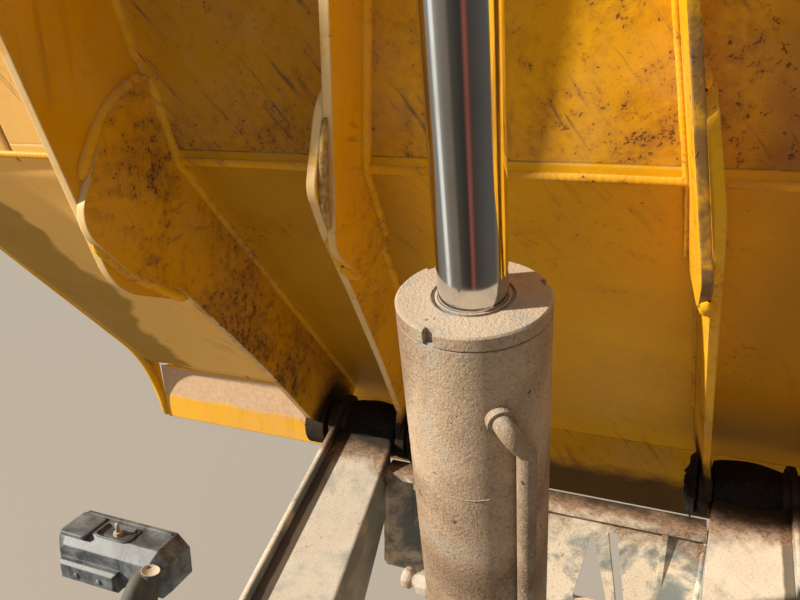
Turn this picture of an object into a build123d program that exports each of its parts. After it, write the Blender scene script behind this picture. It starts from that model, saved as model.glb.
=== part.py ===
from build123d import *
from math import atan, cos, degrees, hypot, radians, sin, tan
import os

# Tipping skip unit of a swivel site dumper. Millimetres, +Z up, +Y the way the skip tips.
# Origin: centre of the slew ring's lower face. Everything is drawn with the skip lowered
# where that is simpler, and the skip is then turned about its hinge to the raised pose.

# Driving sizes: slew ring and turntable
RING_OUTER_R = 310.0
RING_SPLIT_R = 262.0
RING_INNER_R = 205.0
RING_GAP = 3.0
RING_HEIGHT = 70.0
RING_STEP = 12.0
RING_BOLT_PCD = 580.0
RING_BOLT_COUNT = 16
RING_BOLT_R = 9.0
TABLE_THICK = 24.0
TABLE_HALF_WIDTH = 480.0
TABLE_FRONT_Y = 345.0
TABLE_REAR_Y = -345.0
TABLE_CORNER = 110.0
TABLE_HOLE_R = 150.0
TABLE_HOLE_Y = -40.0

# Driving sizes: skip hinge, the turn from the drawn to the raised pose, side profile of the skip
HINGE_Y = 656.0
HINGE_Z = 420.0
RAISED_ANGLE = 70.3
BEND_Y = -68.6
BEND_Z = 212.3
SLOPE_ANGLE = 24.5
SLOPE_LENGTH = 884.0
BOTTOM_LENGTH = 620.0
BACK_LEAN = 14.0
BACK_HEIGHT = 840.0
RIM_MID_AHEAD = 540.0
RIM_MID_ABOVE = 660.0
FRONT_WALL_HEIGHT = 75.0
FLOOR_HALF_WIDTH = 952.0
SKIP_HALF_WIDTH = 1120.0
CORNER_RISE = 3.0
SHEET = 8.0
LIP_THICK = 12.0
LIP_INSET = 44.0
CHEEK_THICK = 12.0

# Lip: corners of its cheeks and folds as (distance past the end of the slope, up from the slope)
CHEEK_CORNER = (44.0, 12.0)
LIP_FOLDS = ((72.0, -63.0), (125.0, -103.0))

# Driving sizes: rim
RIM_DEPTH = 55.0
RIM_WIDTH = 34.0
RIM_WALL = 5.0

# Driving sizes: ribs. Each rib is an upper plate under the bottom and a lower plate under the
# slope, lapped at the bend. Columns: name, side of the machine, kind, half spacing at the bend,
# change of half spacing per mm forward and per mm up, +1 where the lower plate lies outboard.
RIB_PLATE = 12.0
RIBS = (
    ("rib_left_outer", -1, "deep", 487.0, -0.020, 0.0, -1),
    ("rib_left_inner", -1, "shallow", 194.8, 0.1616, -0.1424, 1),
    ("rib_right_inner", 1, "shallow", 194.8, 0.1616, -0.1424, 1),
    ("rib_right_outer", 1, "deep", 487.0, -0.020, 0.0, -1),
)
# Free edge of each plate. Columns: forward of the bend, above it, corner radius.
RIB_ROOF = 4.0
UPPER_EDGES = {
    "deep": ((-580, RIB_ROOF, 0), (-580, -70, 80), (-480, -182, 120), (105, -182, 90), (200, -68, 60),
             (150, 68, 0), (0, RIB_ROOF, 0)),
    "shallow": ((-580, RIB_ROOF, 0), (-580, -40, 30), (-520, -72, 60), (86, -72, 55), (170, -6, 40),
                (150, 68, 0), (0, RIB_ROOF, 0)),
}
LOWER_EDGES = {
    "deep": ((-124, RIB_ROOF, 0), (-112, -90, 110), (-8, -203, 48), (102, -152, 70), (168, -82, 90)),
    "shallow": ((-136, RIB_ROOF, 0), (-130, -64, 52), (-16, -97, 60), (64, -68, 90)),
}
# Then along the slope. Columns: distance from the bend, depth under the panel.
SLOPE_EDGES = {
    "deep": ((260, 140), (420, 139), (640, 147)),
    "shallow": ((180, 88), (420, 92), (650, 102)),
}
RIB_FRONT = 812.0
RIB_FRONT_DROP = 40.0
RIB_EYE_R = 47.0
RIB_BOSS_R = 54.0
INNER_BOSS_X = (284.0, 303.0)
OUTER_BOSS_X = (470.0, 514.0)

# Driving sizes: hinge pins and the lugs of the arms
PIN_R = 25.0
PIN_CLEARANCE = 0.4
PIN_OVERHANG = 12.0
ARM_EYE_R = 48.0

# Driving sizes: arms. The top slopes up to the hinge tube, and the outer plate stands proud of it.
ARM_INNER_X = 303.1
ARM_INNER_SPLAY = 0.081
ARM_OUTER_X = 440.6
ARM_OUTER_SPLAY = 0.026
ARM_TOP_Z = 404.3
ARM_TOP_RISE = 0.358
ARM_STATION = 540.0
ARM_TIP_Y = 613.0
ARM_TIP_DEPTH = 112.0
ARM_TIP_FILLET = 32.0
ARM_WALL = 10.0
ARM_LIP_PROUD = 22.0
ARM_REAR_Y = -215.0
ARM_TOE_Y = 300.0
ARM_TUBE_X = (310.0, 462.0)
ARM_OUTER_EYE_R = 62.0

# Driving sizes: cross member between the arms. The web has a pointed window and a slot on each
# side, given as (half spacing, height) corners, which leave the struts between them.
CROSS_Y = 540.0
CROSS_FLANGE = 50.0
CROSS_PLATE = 15.0
CROSS_DROP = 14.0
CROSS_INSET = 1.0
CROSS_WEB_BACK = 12.0
CROSS_WEB_THICK = 12.0
CROSS_WEB_LOW = 160.0
CROSS_WINDOWS = (
    ((110.0, 350.0), (84.0, 186.0), (150.0, 186.0)),
    ((138.0, 350.0), (154.0, 350.0), (182.0, 186.0), (166.0, 186.0)),
)
CROSS_WINDOW_FILLET = 5.0
CROSS_GUSSET_X = (230.0, 240.0)
CROSS_GUSSET_DEPTH = 120.0
CROSS_GUSSET_SETBACK = 2.0

# Driving sizes: tip ram
RAM_FOOT_Y = 235.8
RAM_FOOT_Z = 197.7
RAM_LEAN = 14.93
BARREL_R = 80.0
BORE_R = 70.0
BARREL_LENGTH = 760.0
BARREL_FLOOR = 24.0
BARREL_BASE = 74.0
BASE_EYE_R = 52.0
BASE_EYE_WIDTH = 76.0
BASE_NECK_EXTRA = 10.0
GLAND_HEIGHT = 60.0
GLAND_COLLAR = 15.0
GLAND_GROOVE = 2.0
GROOVE_DEPTH = 3.0
GLAND_NOTCHES = (30.0, 141.0, 252.0)
NOTCH_DEPTH = 7.0
NOTCH_WIDTH = 12.0
WIPER_R = 43.0
WIPER_WIDTH = 4.0
WIPER_DEPTH = 3.0
GLAND_CHAMFER = 2.0
ROD_R = 36.0
ROD_CLEARANCE = 0.3
ROD_EXPOSED = 560.0
PISTON_DEPTH = 100.0
PISTON_THICK = 40.0
PISTON_PLAY = 1.0
HEAD_EYE_R = 50.0
HEAD_EYE_WIDTH = 72.0
HEAD_NECK_R = 44.0
HEAD_NECK = 22.0
CLEVIS_PLATE = 22.0
CLEVIS_GAP = 3.0
CLEVIS_REAR = 54.0
CLEVIS_FRONT = 80.0
PIN_HEAD = 8.0
RAM_PIN_R = 22.0
HEAD_LUG_R = 52.0
HEAD_LUG_FRONT = 110.0
HEAD_LUG_REAR = 48.0

# Driving sizes: oil pipe on the barrel
PIPE_R = 10.5
PIPE_TURN = 46.0
PIPE_STANDOFF = 3.5
PIPE_TOP = 98.0
PIPE_BOTTOM = 640.0
PIPE_ROOT_TURN = 31.0
PIPE_KNEE_OUT = 12.0
PIPE_KNEE_DROP = 40.0
PIPE_BEND_R = 13.0
PIPE_BOSS_R = 15.0
PIPE_BOSS_HEIGHT = 9.0
PIPE_SINK = 2.0

# Driving sizes: lamps on stalks
LAMP_X = 721.0
LAMP_Y = 245.0
LAMP_Z = 284.0
LAMP_WIDTH = 258.0
LAMP_HEIGHT = 102.0
LAMP_DEPTH = 80.0
LAMP_WALL = 5.0
LAMP_CORNER = 24.0
LAMP_BACK_CHAMFER = 22.0
LAMP_LEDGE = (132.0, 15.0, 40.0)
LAMP_LEDGE_PLACE = (-34.0, -16.0)
LAMP_LEDGE_CHAMFER = 6.0
LAMP_DISH = (70.0, 34.0, 6.0)
LENS_THICK = 8.0
LENS_INSET = 12.0
LENS_PLAY = 1.0
STALK_R = 17.0
STALK_INBOARD = 100.0
STALK_Y = 40.0
STALK_Z = 166.0
STALK_TOP_Z = 302.0
STALK_BEND_R = 28.0
STALK_THROAT = 2.0
STALK_FLANGE_R = 30.0
STALK_FLANGE_THICK = 8.0

SLOPE = radians(SLOPE_ANGLE)
BIG = 4000.0


# Small helpers for places and shapes

def on_slope(along, up):
    """Point of the side view: along the slope from the bend, and up square to it."""
    y = BEND_Y + along * cos(SLOPE) - up * sin(SLOPE)
    z = BEND_Z + along * sin(SLOPE) + up * cos(SLOPE)
    return y, z


def rim_mid():
    """Knee of the rim line, over the front half of the skip."""
    return BEND_Y + RIM_MID_AHEAD, BEND_Z + RIM_MID_ABOVE


def on_ram(along, out=0.0):
    """Point of the side view on the raised ram: along its axis from the foot pin, and out to its front."""
    lean = radians(RAM_LEAN)
    y = RAM_FOOT_Y - along * sin(lean) + out * cos(lean)
    z = RAM_FOOT_Z + along * cos(lean) + out * sin(lean)
    return y, z


def side_plate(points, x_from, x_to, fillets=()):
    """Prism across the machine from a side-view outline. fillets: (corner index, radius)."""
    face = make_face(Polyline(*points, close=True))
    for index, radius in fillets:
        corner = Vector(*points[index], 0)
        vertex = min(face.vertices(), key=lambda v: (Vector(*v) - corner).length)
        face = fillet(vertex, radius)
    placed = Plane(origin=(min(x_from, x_to), 0, 0), x_dir=(0, 1, 0), z_dir=(1, 0, 0)) * face
    return extrude(placed, amount=abs(x_to - x_from), dir=(1, 0, 0))


def cross_rod(y, z, radius, x_from, x_to):
    """Round bar across the machine."""
    middle = (x_from + x_to) / 2
    return Pos(middle, y, z) * Rot(0, 90, 0) * Cylinder(radius, abs(x_to - x_from))


def below(origin, normal):
    """Block that fills everything on the far side of a plane from its normal."""
    return Plane(origin=origin, z_dir=normal) * Box(3 * BIG, 3 * BIG, BIG, align=(Align.CENTER, Align.CENTER, Align.MAX))


def save(shape, name):
    export_step(shape, "parts/" + name + ".step")


def raise_skip(shape):
    """Turn a piece of the lowered skip about its hinge to the raised pose."""
    about_hinge = Pos(0, HINGE_Y, HINGE_Z) * Rot(-RAISED_ANGLE, 0, 0) * Pos(0, -HINGE_Y, -HINGE_Z)
    return about_hinge * shape


# Skip shell: the outer form is a block cut by planes, and each panel is peeled off it in turn

def skip_planes():
    """Plane table: name, origin, inward normal."""
    lean = radians(BACK_LEAN)
    rise = radians(CORNER_RISE)
    slope_up = (0, -sin(SLOPE), cos(SLOPE))
    planes = [("back", (0, BEND_Y - BOTTOM_LENGTH, BEND_Z), (0, cos(lean), sin(lean)))]
    for side, word in ((-1, "left"), (1, "right")):
        planes.append(("wall_" + word, (side * SKIP_HALF_WIDTH, 0, 0), (-side, 0, 0)))
    for side, word in ((-1, "left"), (1, "right")):
        edge = (side * FLOOR_HALF_WIDTH, BEND_Y, BEND_Z)
        planes.append(("corner_bottom_" + word, edge, (-side * sin(rise), 0, cos(rise))))
        sloped = (-side * sin(rise), slope_up[1] * cos(rise), slope_up[2] * cos(rise))
        planes.append(("corner_slope_" + word, edge, sloped))
    planes.append(("front_floor", (0, BEND_Y, BEND_Z), slope_up))
    planes.append(("bottom", (0, BEND_Y, BEND_Z), (0, 0, 1)))
    return planes


def skip_block():
    """Solid of the whole skip, cut to the outer faces and to the rim line."""
    front_y, front_z = on_slope(SLOPE_LENGTH, 0)
    nose_y, nose_z = on_slope(SLOPE_LENGTH, FRONT_WALL_HEIGHT)
    back_y = BEND_Y - BOTTOM_LENGTH - BACK_HEIGHT * tan(radians(BACK_LEAN))
    block = Box(2 * SKIP_HALF_WIDTH, BIG, BIG)
    for name, origin, normal in skip_planes():
        block = block - below(origin, normal)
    rim_lines = (
        ((front_y, front_z), (nose_y, nose_z)),
        ((nose_y, nose_z), rim_mid()),
        (rim_mid(), (back_y, BEND_Z + BACK_HEIGHT)),
    )
    for (y0, z0), (y1, z1) in rim_lines:
        run = hypot(y1 - y0, z1 - z0)
        block = block - below((0, y0, z0), (0, -(z1 - z0) / run, (y1 - y0) / run))
    return block


def shift(origin, normal, distance):
    return tuple(o + n * distance for o, n in zip(origin, normal))


def make_skip_panels(block):
    """Peel the sheet panels off the block one after the other, so that they meet face to face."""
    panels = {}
    rest = block
    for name, origin, normal in skip_planes():
        cutter = below(shift(origin, normal, SHEET), normal)
        panels[name] = rest & cutter
        rest = rest - cutter
    for word in ("left", "right"):
        panels["corner_" + word] = panels.pop("corner_bottom_" + word) + panels.pop("corner_slope_" + word)
    return panels


def make_lip():
    """Folded wear lip along the front of the floor."""
    half = SKIP_HALF_WIDTH - LIP_INSET
    outer = [(SLOPE_LENGTH, 0.0)] + [(SLOPE_LENGTH + past, up) for past, up in LIP_FOLDS]
    inner = [(along + LIP_THICK * 0.62, up + LIP_THICK * 0.78) for along, up in outer[1:]]
    inner = [(SLOPE_LENGTH, LIP_THICK)] + inner
    points = [on_slope(*p) for p in outer + inner[::-1]]
    lip = side_plate(points, -half, half)
    cheek = [on_slope(*p) for p in outer + [(SLOPE_LENGTH + CHEEK_CORNER[0], CHEEK_CORNER[1])]]
    for side in (-1, 1):
        lip = lip + side_plate(cheek, side * half, side * (half + CHEEK_THICK))
    return lip


def make_rims():
    """Pressed rims: a channel, open below, outside the top edge of each wall and of the back."""
    nose = on_slope(SLOPE_LENGTH, FRONT_WALL_HEIGHT)
    lean = radians(BACK_LEAN)
    top_back = (BEND_Y - BOTTOM_LENGTH - BACK_HEIGHT * tan(lean), BEND_Z + BACK_HEIGHT)
    line = [nose, rim_mid(), top_back]
    low = [(y, z - RIM_DEPTH) for y, z in line]
    slot_top = [(y, z - RIM_WALL) for y, z in line]
    slot_low = [(y, z - RIM_DEPTH - RIM_WALL) for y, z in line]
    rims = {}
    for side, word in ((-1, "left"), (1, "right")):
        start = side * SKIP_HALF_WIDTH
        band = side_plate(line + low[::-1], start, start + side * RIM_WIDTH)
        slot = side_plate(slot_top + slot_low[::-1], start, start + side * (RIM_WIDTH - RIM_WALL))
        rims["rim_" + word] = band - slot
    y0, z0 = top_back
    drop = RIM_DEPTH * tan(lean)
    outer = [(y0, z0), (y0 - RIM_WIDTH, z0), (y0 - RIM_WIDTH + drop, z0 - RIM_DEPTH), (y0 + drop, z0 - RIM_DEPTH)]
    band = side_plate(outer, -SKIP_HALF_WIDTH, SKIP_HALF_WIDTH)
    inner = [(y0, z0 - RIM_WALL), (y0 - RIM_WIDTH + RIM_WALL, z0 - RIM_WALL),
             (y0 - RIM_WIDTH + RIM_WALL + drop, z0 - RIM_DEPTH - RIM_WALL), (y0 + drop, z0 - RIM_DEPTH - RIM_WALL)]
    rims["rim_back"] = band - side_plate(inner, -SKIP_HALF_WIDTH, SKIP_HALF_WIDTH)
    return rims


# Ribs: two lapped plates each, turned in plan so that a pair closes in on its arm

def eye_place():
    """Hinge centre as a distance along the slope and a height over it."""
    dy, dz = HINGE_Y - BEND_Y, HINGE_Z - BEND_Z
    return dy * cos(SLOPE) + dz * sin(SLOPE), -dy * sin(SLOPE) + dz * cos(SLOPE)


def rib_outline(kind, upper):
    """Side outline of a plate about the bend: points (forward, up) and a list of (index, radius)."""
    table = UPPER_EDGES[kind] if upper else LOWER_EDGES[kind]
    points = [(BEND_Y + ahead, BEND_Z + above) for ahead, above, radius in table]
    fillets = [(i, radius) for i, (ahead, above, radius) in enumerate(table) if radius]
    if upper:
        return points, fillets
    points += [on_slope(along, -depth) for along, depth in SLOPE_EDGES[kind]]
    eye_along, eye_up = eye_place()
    points += [on_slope(eye_along - RIB_EYE_R, eye_up - RIB_EYE_R / 2), on_slope(eye_along, eye_up)]
    points += [on_slope(RIB_FRONT, -RIB_FRONT_DROP), on_slope(RIB_FRONT, RIB_ROOF), on_slope(0, RIB_ROOF)]
    return points, fillets


def rib_plate(points, fillets, half, splay, lean, eye):
    """Plate in its own plane, where half spacing = half + splay * forward + lean * up from the bend."""
    plane = Plane(origin=(half, BEND_Y, BEND_Z), x_dir=(splay, 1, 0), z_dir=(1, -splay, -lean))

    def seat(y, z):
        x = half + splay * (y - BEND_Y) + lean * (z - BEND_Z)
        spot = plane.to_local_coords(Vector(x, y, z))
        return spot.X, spot.Y

    flat = [seat(y, z) for y, z in points]
    face = make_face(Polyline(*flat, close=True))
    for index, radius in fillets:
        corner = Vector(*flat[index], 0)
        vertex = min(face.vertices(), key=lambda v: (Vector(*v) - corner).length)
        face = fillet(vertex, radius)
    if eye:
        face = face + Pos(*seat(HINGE_Y, HINGE_Z), 0) * Circle(RIB_EYE_R)
    return extrude(plane * face, amount=RIB_PLATE, dir=(1, 0, 0))


def make_ribs(block):
    ribs = {}
    bore = cross_rod(HINGE_Y, HINGE_Z, PIN_R + PIN_CLEARANCE, 0, SKIP_HALF_WIDTH)
    for name, side, kind, half, splay, lean, outboard in RIBS:
        for word, upper in (("upper", True), ("lower", False)):
            near = upper == (outboard > 0)
            points, fillets = rib_outline(kind, upper)
            plate = rib_plate(points, fillets, half + (0.0 if near else RIB_PLATE), splay, lean, not upper)
            if not upper:
                boss_x = INNER_BOSS_X if outboard > 0 else OUTER_BOSS_X
                plate = plate + cross_rod(HINGE_Y, HINGE_Z, RIB_BOSS_R, *boss_x)
                if outboard > 0:
                    plate = plate - Pos(INNER_BOSS_X[1] + BIG / 2, 0, 0) * Box(BIG, BIG, BIG)
                plate = plate - bore
            plate = plate - block
            ribs[name + "_" + word] = mirror(plate, about=Plane.YZ) if side < 0 else plate
    return ribs


def make_head_bracket():
    """Two lugs under the bottom of the skip, where the ram's rod end is pinned."""
    head_y, head_z = lowered_head()
    spread = HEAD_EYE_WIDTH / 2 + CLEVIS_GAP
    lugs = None
    for side in (-1, 1):
        outline = [(head_y - HEAD_LUG_REAR, BEND_Z), (head_y - HEAD_LUG_R, head_z), (head_y + HEAD_LUG_R, head_z),
                   (head_y + HEAD_LUG_FRONT, BEND_Z)]
        lug = side_plate(outline, side * spread, side * (spread + CLEVIS_PLATE))
        lug = lug + cross_rod(head_y, head_z, HEAD_LUG_R, side * spread, side * (spread + CLEVIS_PLATE))
        lugs = lug if lugs is None else lugs + lug
    return lugs - cross_rod(head_y, head_z, RAM_PIN_R, -BIG, BIG)


def lowered_head():
    """Place of the ram's head pin with the skip lowered."""
    y, z = on_ram(BARREL_LENGTH + ROD_EXPOSED)
    turn = radians(RAISED_ANGLE)
    dy, dz = y - HINGE_Y, z - HINGE_Z
    return HINGE_Y + dy * cos(turn) - dz * sin(turn), HINGE_Z + dy * sin(turn) + dz * cos(turn)


# Swivel frame: turntable plate, two tapered box arms, cross member and clevis

def table_top():
    return RING_STEP + RING_HEIGHT + TABLE_THICK


def make_slew_rings():
    lower = Pos(0, 0, RING_HEIGHT / 2) * Cylinder(RING_OUTER_R, RING_HEIGHT)
    lower = lower - Pos(0, 0, RING_HEIGHT / 2) * Cylinder(RING_SPLIT_R, RING_HEIGHT)
    bolt = Cylinder(RING_BOLT_R, 3 * RING_HEIGHT)
    for place in PolarLocations(RING_BOLT_PCD / 2, RING_BOLT_COUNT):
        lower = lower - place * bolt
    middle = RING_STEP + RING_HEIGHT / 2
    upper = Pos(0, 0, middle) * Cylinder(RING_SPLIT_R - RING_GAP, RING_HEIGHT)
    upper = upper - Pos(0, 0, middle) * Cylinder(RING_INNER_R, RING_HEIGHT)
    return lower, upper


def make_table():
    w, c = TABLE_HALF_WIDTH, TABLE_CORNER
    outline = [(-w + c, TABLE_REAR_Y), (w - c, TABLE_REAR_Y), (w, TABLE_REAR_Y + c), (w, TABLE_FRONT_Y - c),
               (w - c, TABLE_FRONT_Y), (-w + c, TABLE_FRONT_Y), (-w, TABLE_FRONT_Y - c), (-w, TABLE_REAR_Y + c)]
    face = make_face(Polyline(*outline, close=True))
    plate = extrude(Pos(0, 0, RING_STEP + RING_HEIGHT) * face, amount=TABLE_THICK, dir=(0, 0, 1))
    return plate - Pos(0, TABLE_HOLE_Y, 0) * Cylinder(TABLE_HOLE_R, 4 * RING_HEIGHT)


def arm_top(y, drop=0.0):
    """Height of the outer plate's top edge at a station y. The recessed top lies ARM_LIP_PROUD lower."""
    return ARM_TOP_Z + ARM_LIP_PROUD + ARM_TOP_RISE * (y - ARM_STATION) - drop


def arm_edge(y, outer, inset=0.0):
    """Half spacing of an arm's inner or outer plan edge at a station y."""
    if outer:
        return ARM_OUTER_X + ARM_OUTER_SPLAY * (y - ARM_STATION) - inset
    return ARM_INNER_X + ARM_INNER_SPLAY * (y - ARM_STATION) + inset


def arm_solid(side, wall, drop):
    """Arm form set in by a wall thickness, from its plan outline and its side outline."""
    tip = ARM_TIP_Y - wall
    rear = ARM_REAR_Y + wall
    floor = table_top() + wall
    plan = [(side * arm_edge(rear, False, wall), rear), (side * arm_edge(tip, False, wall), tip),
            (side * arm_edge(tip, True, wall), tip), (side * arm_edge(rear, True, wall), rear)]
    column = extrude(make_face(Polyline(*plan, close=True)), amount=BIG, dir=(0, 0, 1))
    corner = Vector(plan[1][0], plan[1][1], BIG / 2)
    tip_edge = min(column.edges().filter_by(Axis.Z), key=lambda e: (e.center() - corner).length)
    column = fillet(tip_edge, ARM_TIP_FILLET - wall)
    top = drop + wall
    tip_low = arm_top(tip) - ARM_LIP_PROUD - ARM_TIP_DEPTH + wall
    outline = [(rear, floor), (rear, arm_top(rear, top)), (tip, arm_top(tip, top)), (tip, tip_low),
               (ARM_TOE_Y - wall, floor)]
    return column & side_plate(outline, -BIG / 2, BIG / 2)


def make_arm(side, eye_cut):
    """Hollow box arm, and its outer plate that stands proud of the top and carries the hinge tube."""
    box = arm_solid(side, 0.0, ARM_LIP_PROUD) - arm_solid(side, ARM_WALL, ARM_LIP_PROUD)
    outer = arm_edge(ARM_TIP_Y, True)
    cheek = cross_rod(HINGE_Y, HINGE_Z, ARM_OUTER_EYE_R, side * (outer - ARM_WALL), side * outer)
    rear, tip = ARM_REAR_Y, ARM_TIP_Y
    strip = [(side * arm_edge(rear, True, ARM_WALL), rear), (side * arm_edge(tip, True, ARM_WALL), tip),
             (side * arm_edge(tip, True), tip), (side * arm_edge(rear, True), rear)]
    column = extrude(make_face(Polyline(*strip, close=True)), amount=BIG, dir=(0, 0, 1))
    return box - column - eye_cut, ((arm_solid(side, 0.0, 0.0) & column) + cheek) - eye_cut


def make_arm_eye(side):
    """Hinge tube across the tip of an arm. The pin's bore is cut later."""
    return cross_rod(HINGE_Y, HINGE_Z, ARM_EYE_R, side * ARM_TUBE_X[0], side * ARM_TUBE_X[1])


def make_cross_member():
    """Top flange, web with windows that leave V struts, and a gusset near each arm."""
    top = arm_top(CROSS_Y, ARM_LIP_PROUD + CROSS_DROP)
    low = top - CROSS_PLATE
    front = CROSS_Y + CROSS_FLANGE
    edge = arm_edge(CROSS_Y, False) - CROSS_INSET
    flange = side_plate([(CROSS_Y, low), (front, low), (front, top), (CROSS_Y, top)], -edge, edge)
    web_y = CROSS_Y + CROSS_WEB_BACK
    web = Pos(0, web_y + CROSS_WEB_THICK / 2, (CROSS_WEB_LOW + low) / 2) * Box(2 * edge, CROSS_WEB_THICK, low - CROSS_WEB_LOW)
    for side in (-1, 1):
        for corners in CROSS_WINDOWS:
            face = make_face(Polyline(*[(side * x, z) for x, z in corners], close=True))
            face = fillet(face.vertices(), CROSS_WINDOW_FILLET)
            placed = Plane(origin=(0, web_y - CROSS_WEB_THICK / 2, 0), x_dir=(1, 0, 0), z_dir=(0, -1, 0)) * face
            web = web - extrude(placed, amount=2 * CROSS_WEB_THICK, dir=(0, 1, 0))
        x_from, x_to = (side * x for x in CROSS_GUSSET_X)
        gusset = [(CROSS_Y + CROSS_GUSSET_SETBACK, low), (web_y, low), (web_y, low - CROSS_GUSSET_DEPTH)]
        web = web + side_plate(gusset, x_from, x_to)
    return flange + web


def make_foot_clevis():
    spread = BASE_EYE_WIDTH / 2 + CLEVIS_GAP
    lugs = None
    for side in (-1, 1):
        outline = [(RAM_FOOT_Y - CLEVIS_REAR, table_top()), (RAM_FOOT_Y - BASE_EYE_R, RAM_FOOT_Z),
                   (RAM_FOOT_Y + BASE_EYE_R, RAM_FOOT_Z), (RAM_FOOT_Y + CLEVIS_FRONT, table_top())]
        lug = side_plate(outline, side * spread, side * (spread + CLEVIS_PLATE))
        lug = lug + cross_rod(RAM_FOOT_Y, RAM_FOOT_Z, BASE_EYE_R, side * spread, side * (spread + CLEVIS_PLATE))
        lugs = lug if lugs is None else lugs + lug
    return lugs - cross_rod(RAM_FOOT_Y, RAM_FOOT_Z, RAM_PIN_R, -BIG, BIG)


# Tip ram: modelled upright along its own axis from the foot pin, then leaned back

def lean_ram(shape):
    return Pos(0, RAM_FOOT_Y, RAM_FOOT_Z) * Rot(RAM_LEAN, 0, 0) * shape


def bar(z_from, z_to, radius):
    return Pos(0, 0, (z_from + z_to) / 2) * Cylinder(radius, z_to - z_from)


def make_ram():
    pieces = {}
    top = BARREL_LENGTH
    gland_low = top - GLAND_HEIGHT
    tube = bar(BARREL_BASE, gland_low, BARREL_R) - bar(BARREL_BASE + BARREL_FLOOR, gland_low, BORE_R)
    pieces["ram_barrel"] = tube
    eye = Rot(0, 90, 0) * Cylinder(BASE_EYE_R, BASE_EYE_WIDTH)
    neck = bar(0, BARREL_BASE, BASE_EYE_WIDTH / 2 + BASE_NECK_EXTRA)
    base = (eye + neck) & Box(BASE_EYE_WIDTH, 4 * BARREL_R, 4 * BARREL_R)
    pieces["ram_base_eye"] = base - Rot(0, 90, 0) * Cylinder(RAM_PIN_R + PIN_CLEARANCE, 2 * BASE_EYE_WIDTH)
    body = bar(gland_low, top - GLAND_COLLAR - GLAND_GROOVE, BARREL_R)
    groove = bar(top - GLAND_COLLAR - GLAND_GROOVE, top - GLAND_COLLAR, BARREL_R - GROOVE_DEPTH)
    collar = bar(top - GLAND_COLLAR, top, BARREL_R)
    collar = chamfer(collar.edges().sort_by(Axis.Z)[-1], GLAND_CHAMFER)
    gland = (body + groove + collar) - bar(gland_low, top, ROD_R + ROD_CLEARANCE)
    gland = gland - (bar(top - WIPER_DEPTH, top, WIPER_R) - bar(top - WIPER_DEPTH, top, WIPER_R - WIPER_WIDTH))
    notch = Pos(BARREL_R, 0, top - GLAND_COLLAR / 2) * Box(2 * NOTCH_DEPTH, NOTCH_WIDTH, GLAND_COLLAR)
    for turn in GLAND_NOTCHES:
        gland = gland - Rot(0, 0, turn) * notch
    pieces["ram_gland"] = gland
    eye_at = BARREL_LENGTH + ROD_EXPOSED
    rod = bar(top - PISTON_DEPTH, eye_at - HEAD_EYE_R, ROD_R)
    piston = bar(top - PISTON_DEPTH - PISTON_THICK, top - PISTON_DEPTH, BORE_R - PISTON_PLAY)
    head = Pos(0, 0, eye_at) * Rot(0, 90, 0) * Cylinder(HEAD_EYE_R, HEAD_EYE_WIDTH)
    neck = bar(eye_at - HEAD_EYE_R - HEAD_NECK, eye_at, HEAD_NECK_R) - bar(0, eye_at - HEAD_EYE_R - HEAD_NECK, BORE_R)
    head = (head + neck) & Pos(0, 0, eye_at) * Box(HEAD_EYE_WIDTH, 4 * HEAD_EYE_R, 8 * HEAD_EYE_R)
    pieces["ram_rod"] = rod + piston - head
    pieces["ram_rod_eye"] = head
    pieces.update(make_pipe())
    return pieces


def make_pipe():
    """Oil pipe down the barrel: out of a boss near the gland, over a knee, down, and into a boss near the base."""
    run = BARREL_R + PIPE_STANDOFF + PIPE_R
    high = BARREL_LENGTH - PIPE_TOP
    low = BARREL_LENGTH - PIPE_BOTTOM

    def spot(radius, turn, along):
        angle = radians(turn - 90)
        return radius * cos(angle), radius * sin(angle), along

    points = (spot(BARREL_R - PIPE_SINK, PIPE_ROOT_TURN, high),
              spot(run + PIPE_KNEE_OUT, PIPE_ROOT_TURN, high + PIPE_SINK),
              spot(run, PIPE_TURN, high - PIPE_KNEE_DROP), spot(run, PIPE_TURN, low), spot(BARREL_R - PIPE_SINK, PIPE_TURN, low))
    path = FilletPolyline(*points, radius=PIPE_BEND_R)
    pipe = sweep(Plane(origin=path @ 0, z_dir=path % 0) * Circle(PIPE_R), path=path)
    for turn, along in ((PIPE_ROOT_TURN, high), (PIPE_TURN, low)):
        foot = Vector(*spot(BARREL_R - PIPE_SINK, turn, along))
        out = Vector(*spot(1, turn, 0))
        pipe = pipe + extrude(Plane(origin=foot, z_dir=out) * Circle(PIPE_BOSS_R), amount=PIPE_BOSS_HEIGHT + PIPE_SINK)
    return {"ram_oil_pipe": pipe - bar(0, BARREL_LENGTH, BARREL_R)}


# Lamps: a hollow housing open to the front with a lens, on a bent tube stalk

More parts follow.
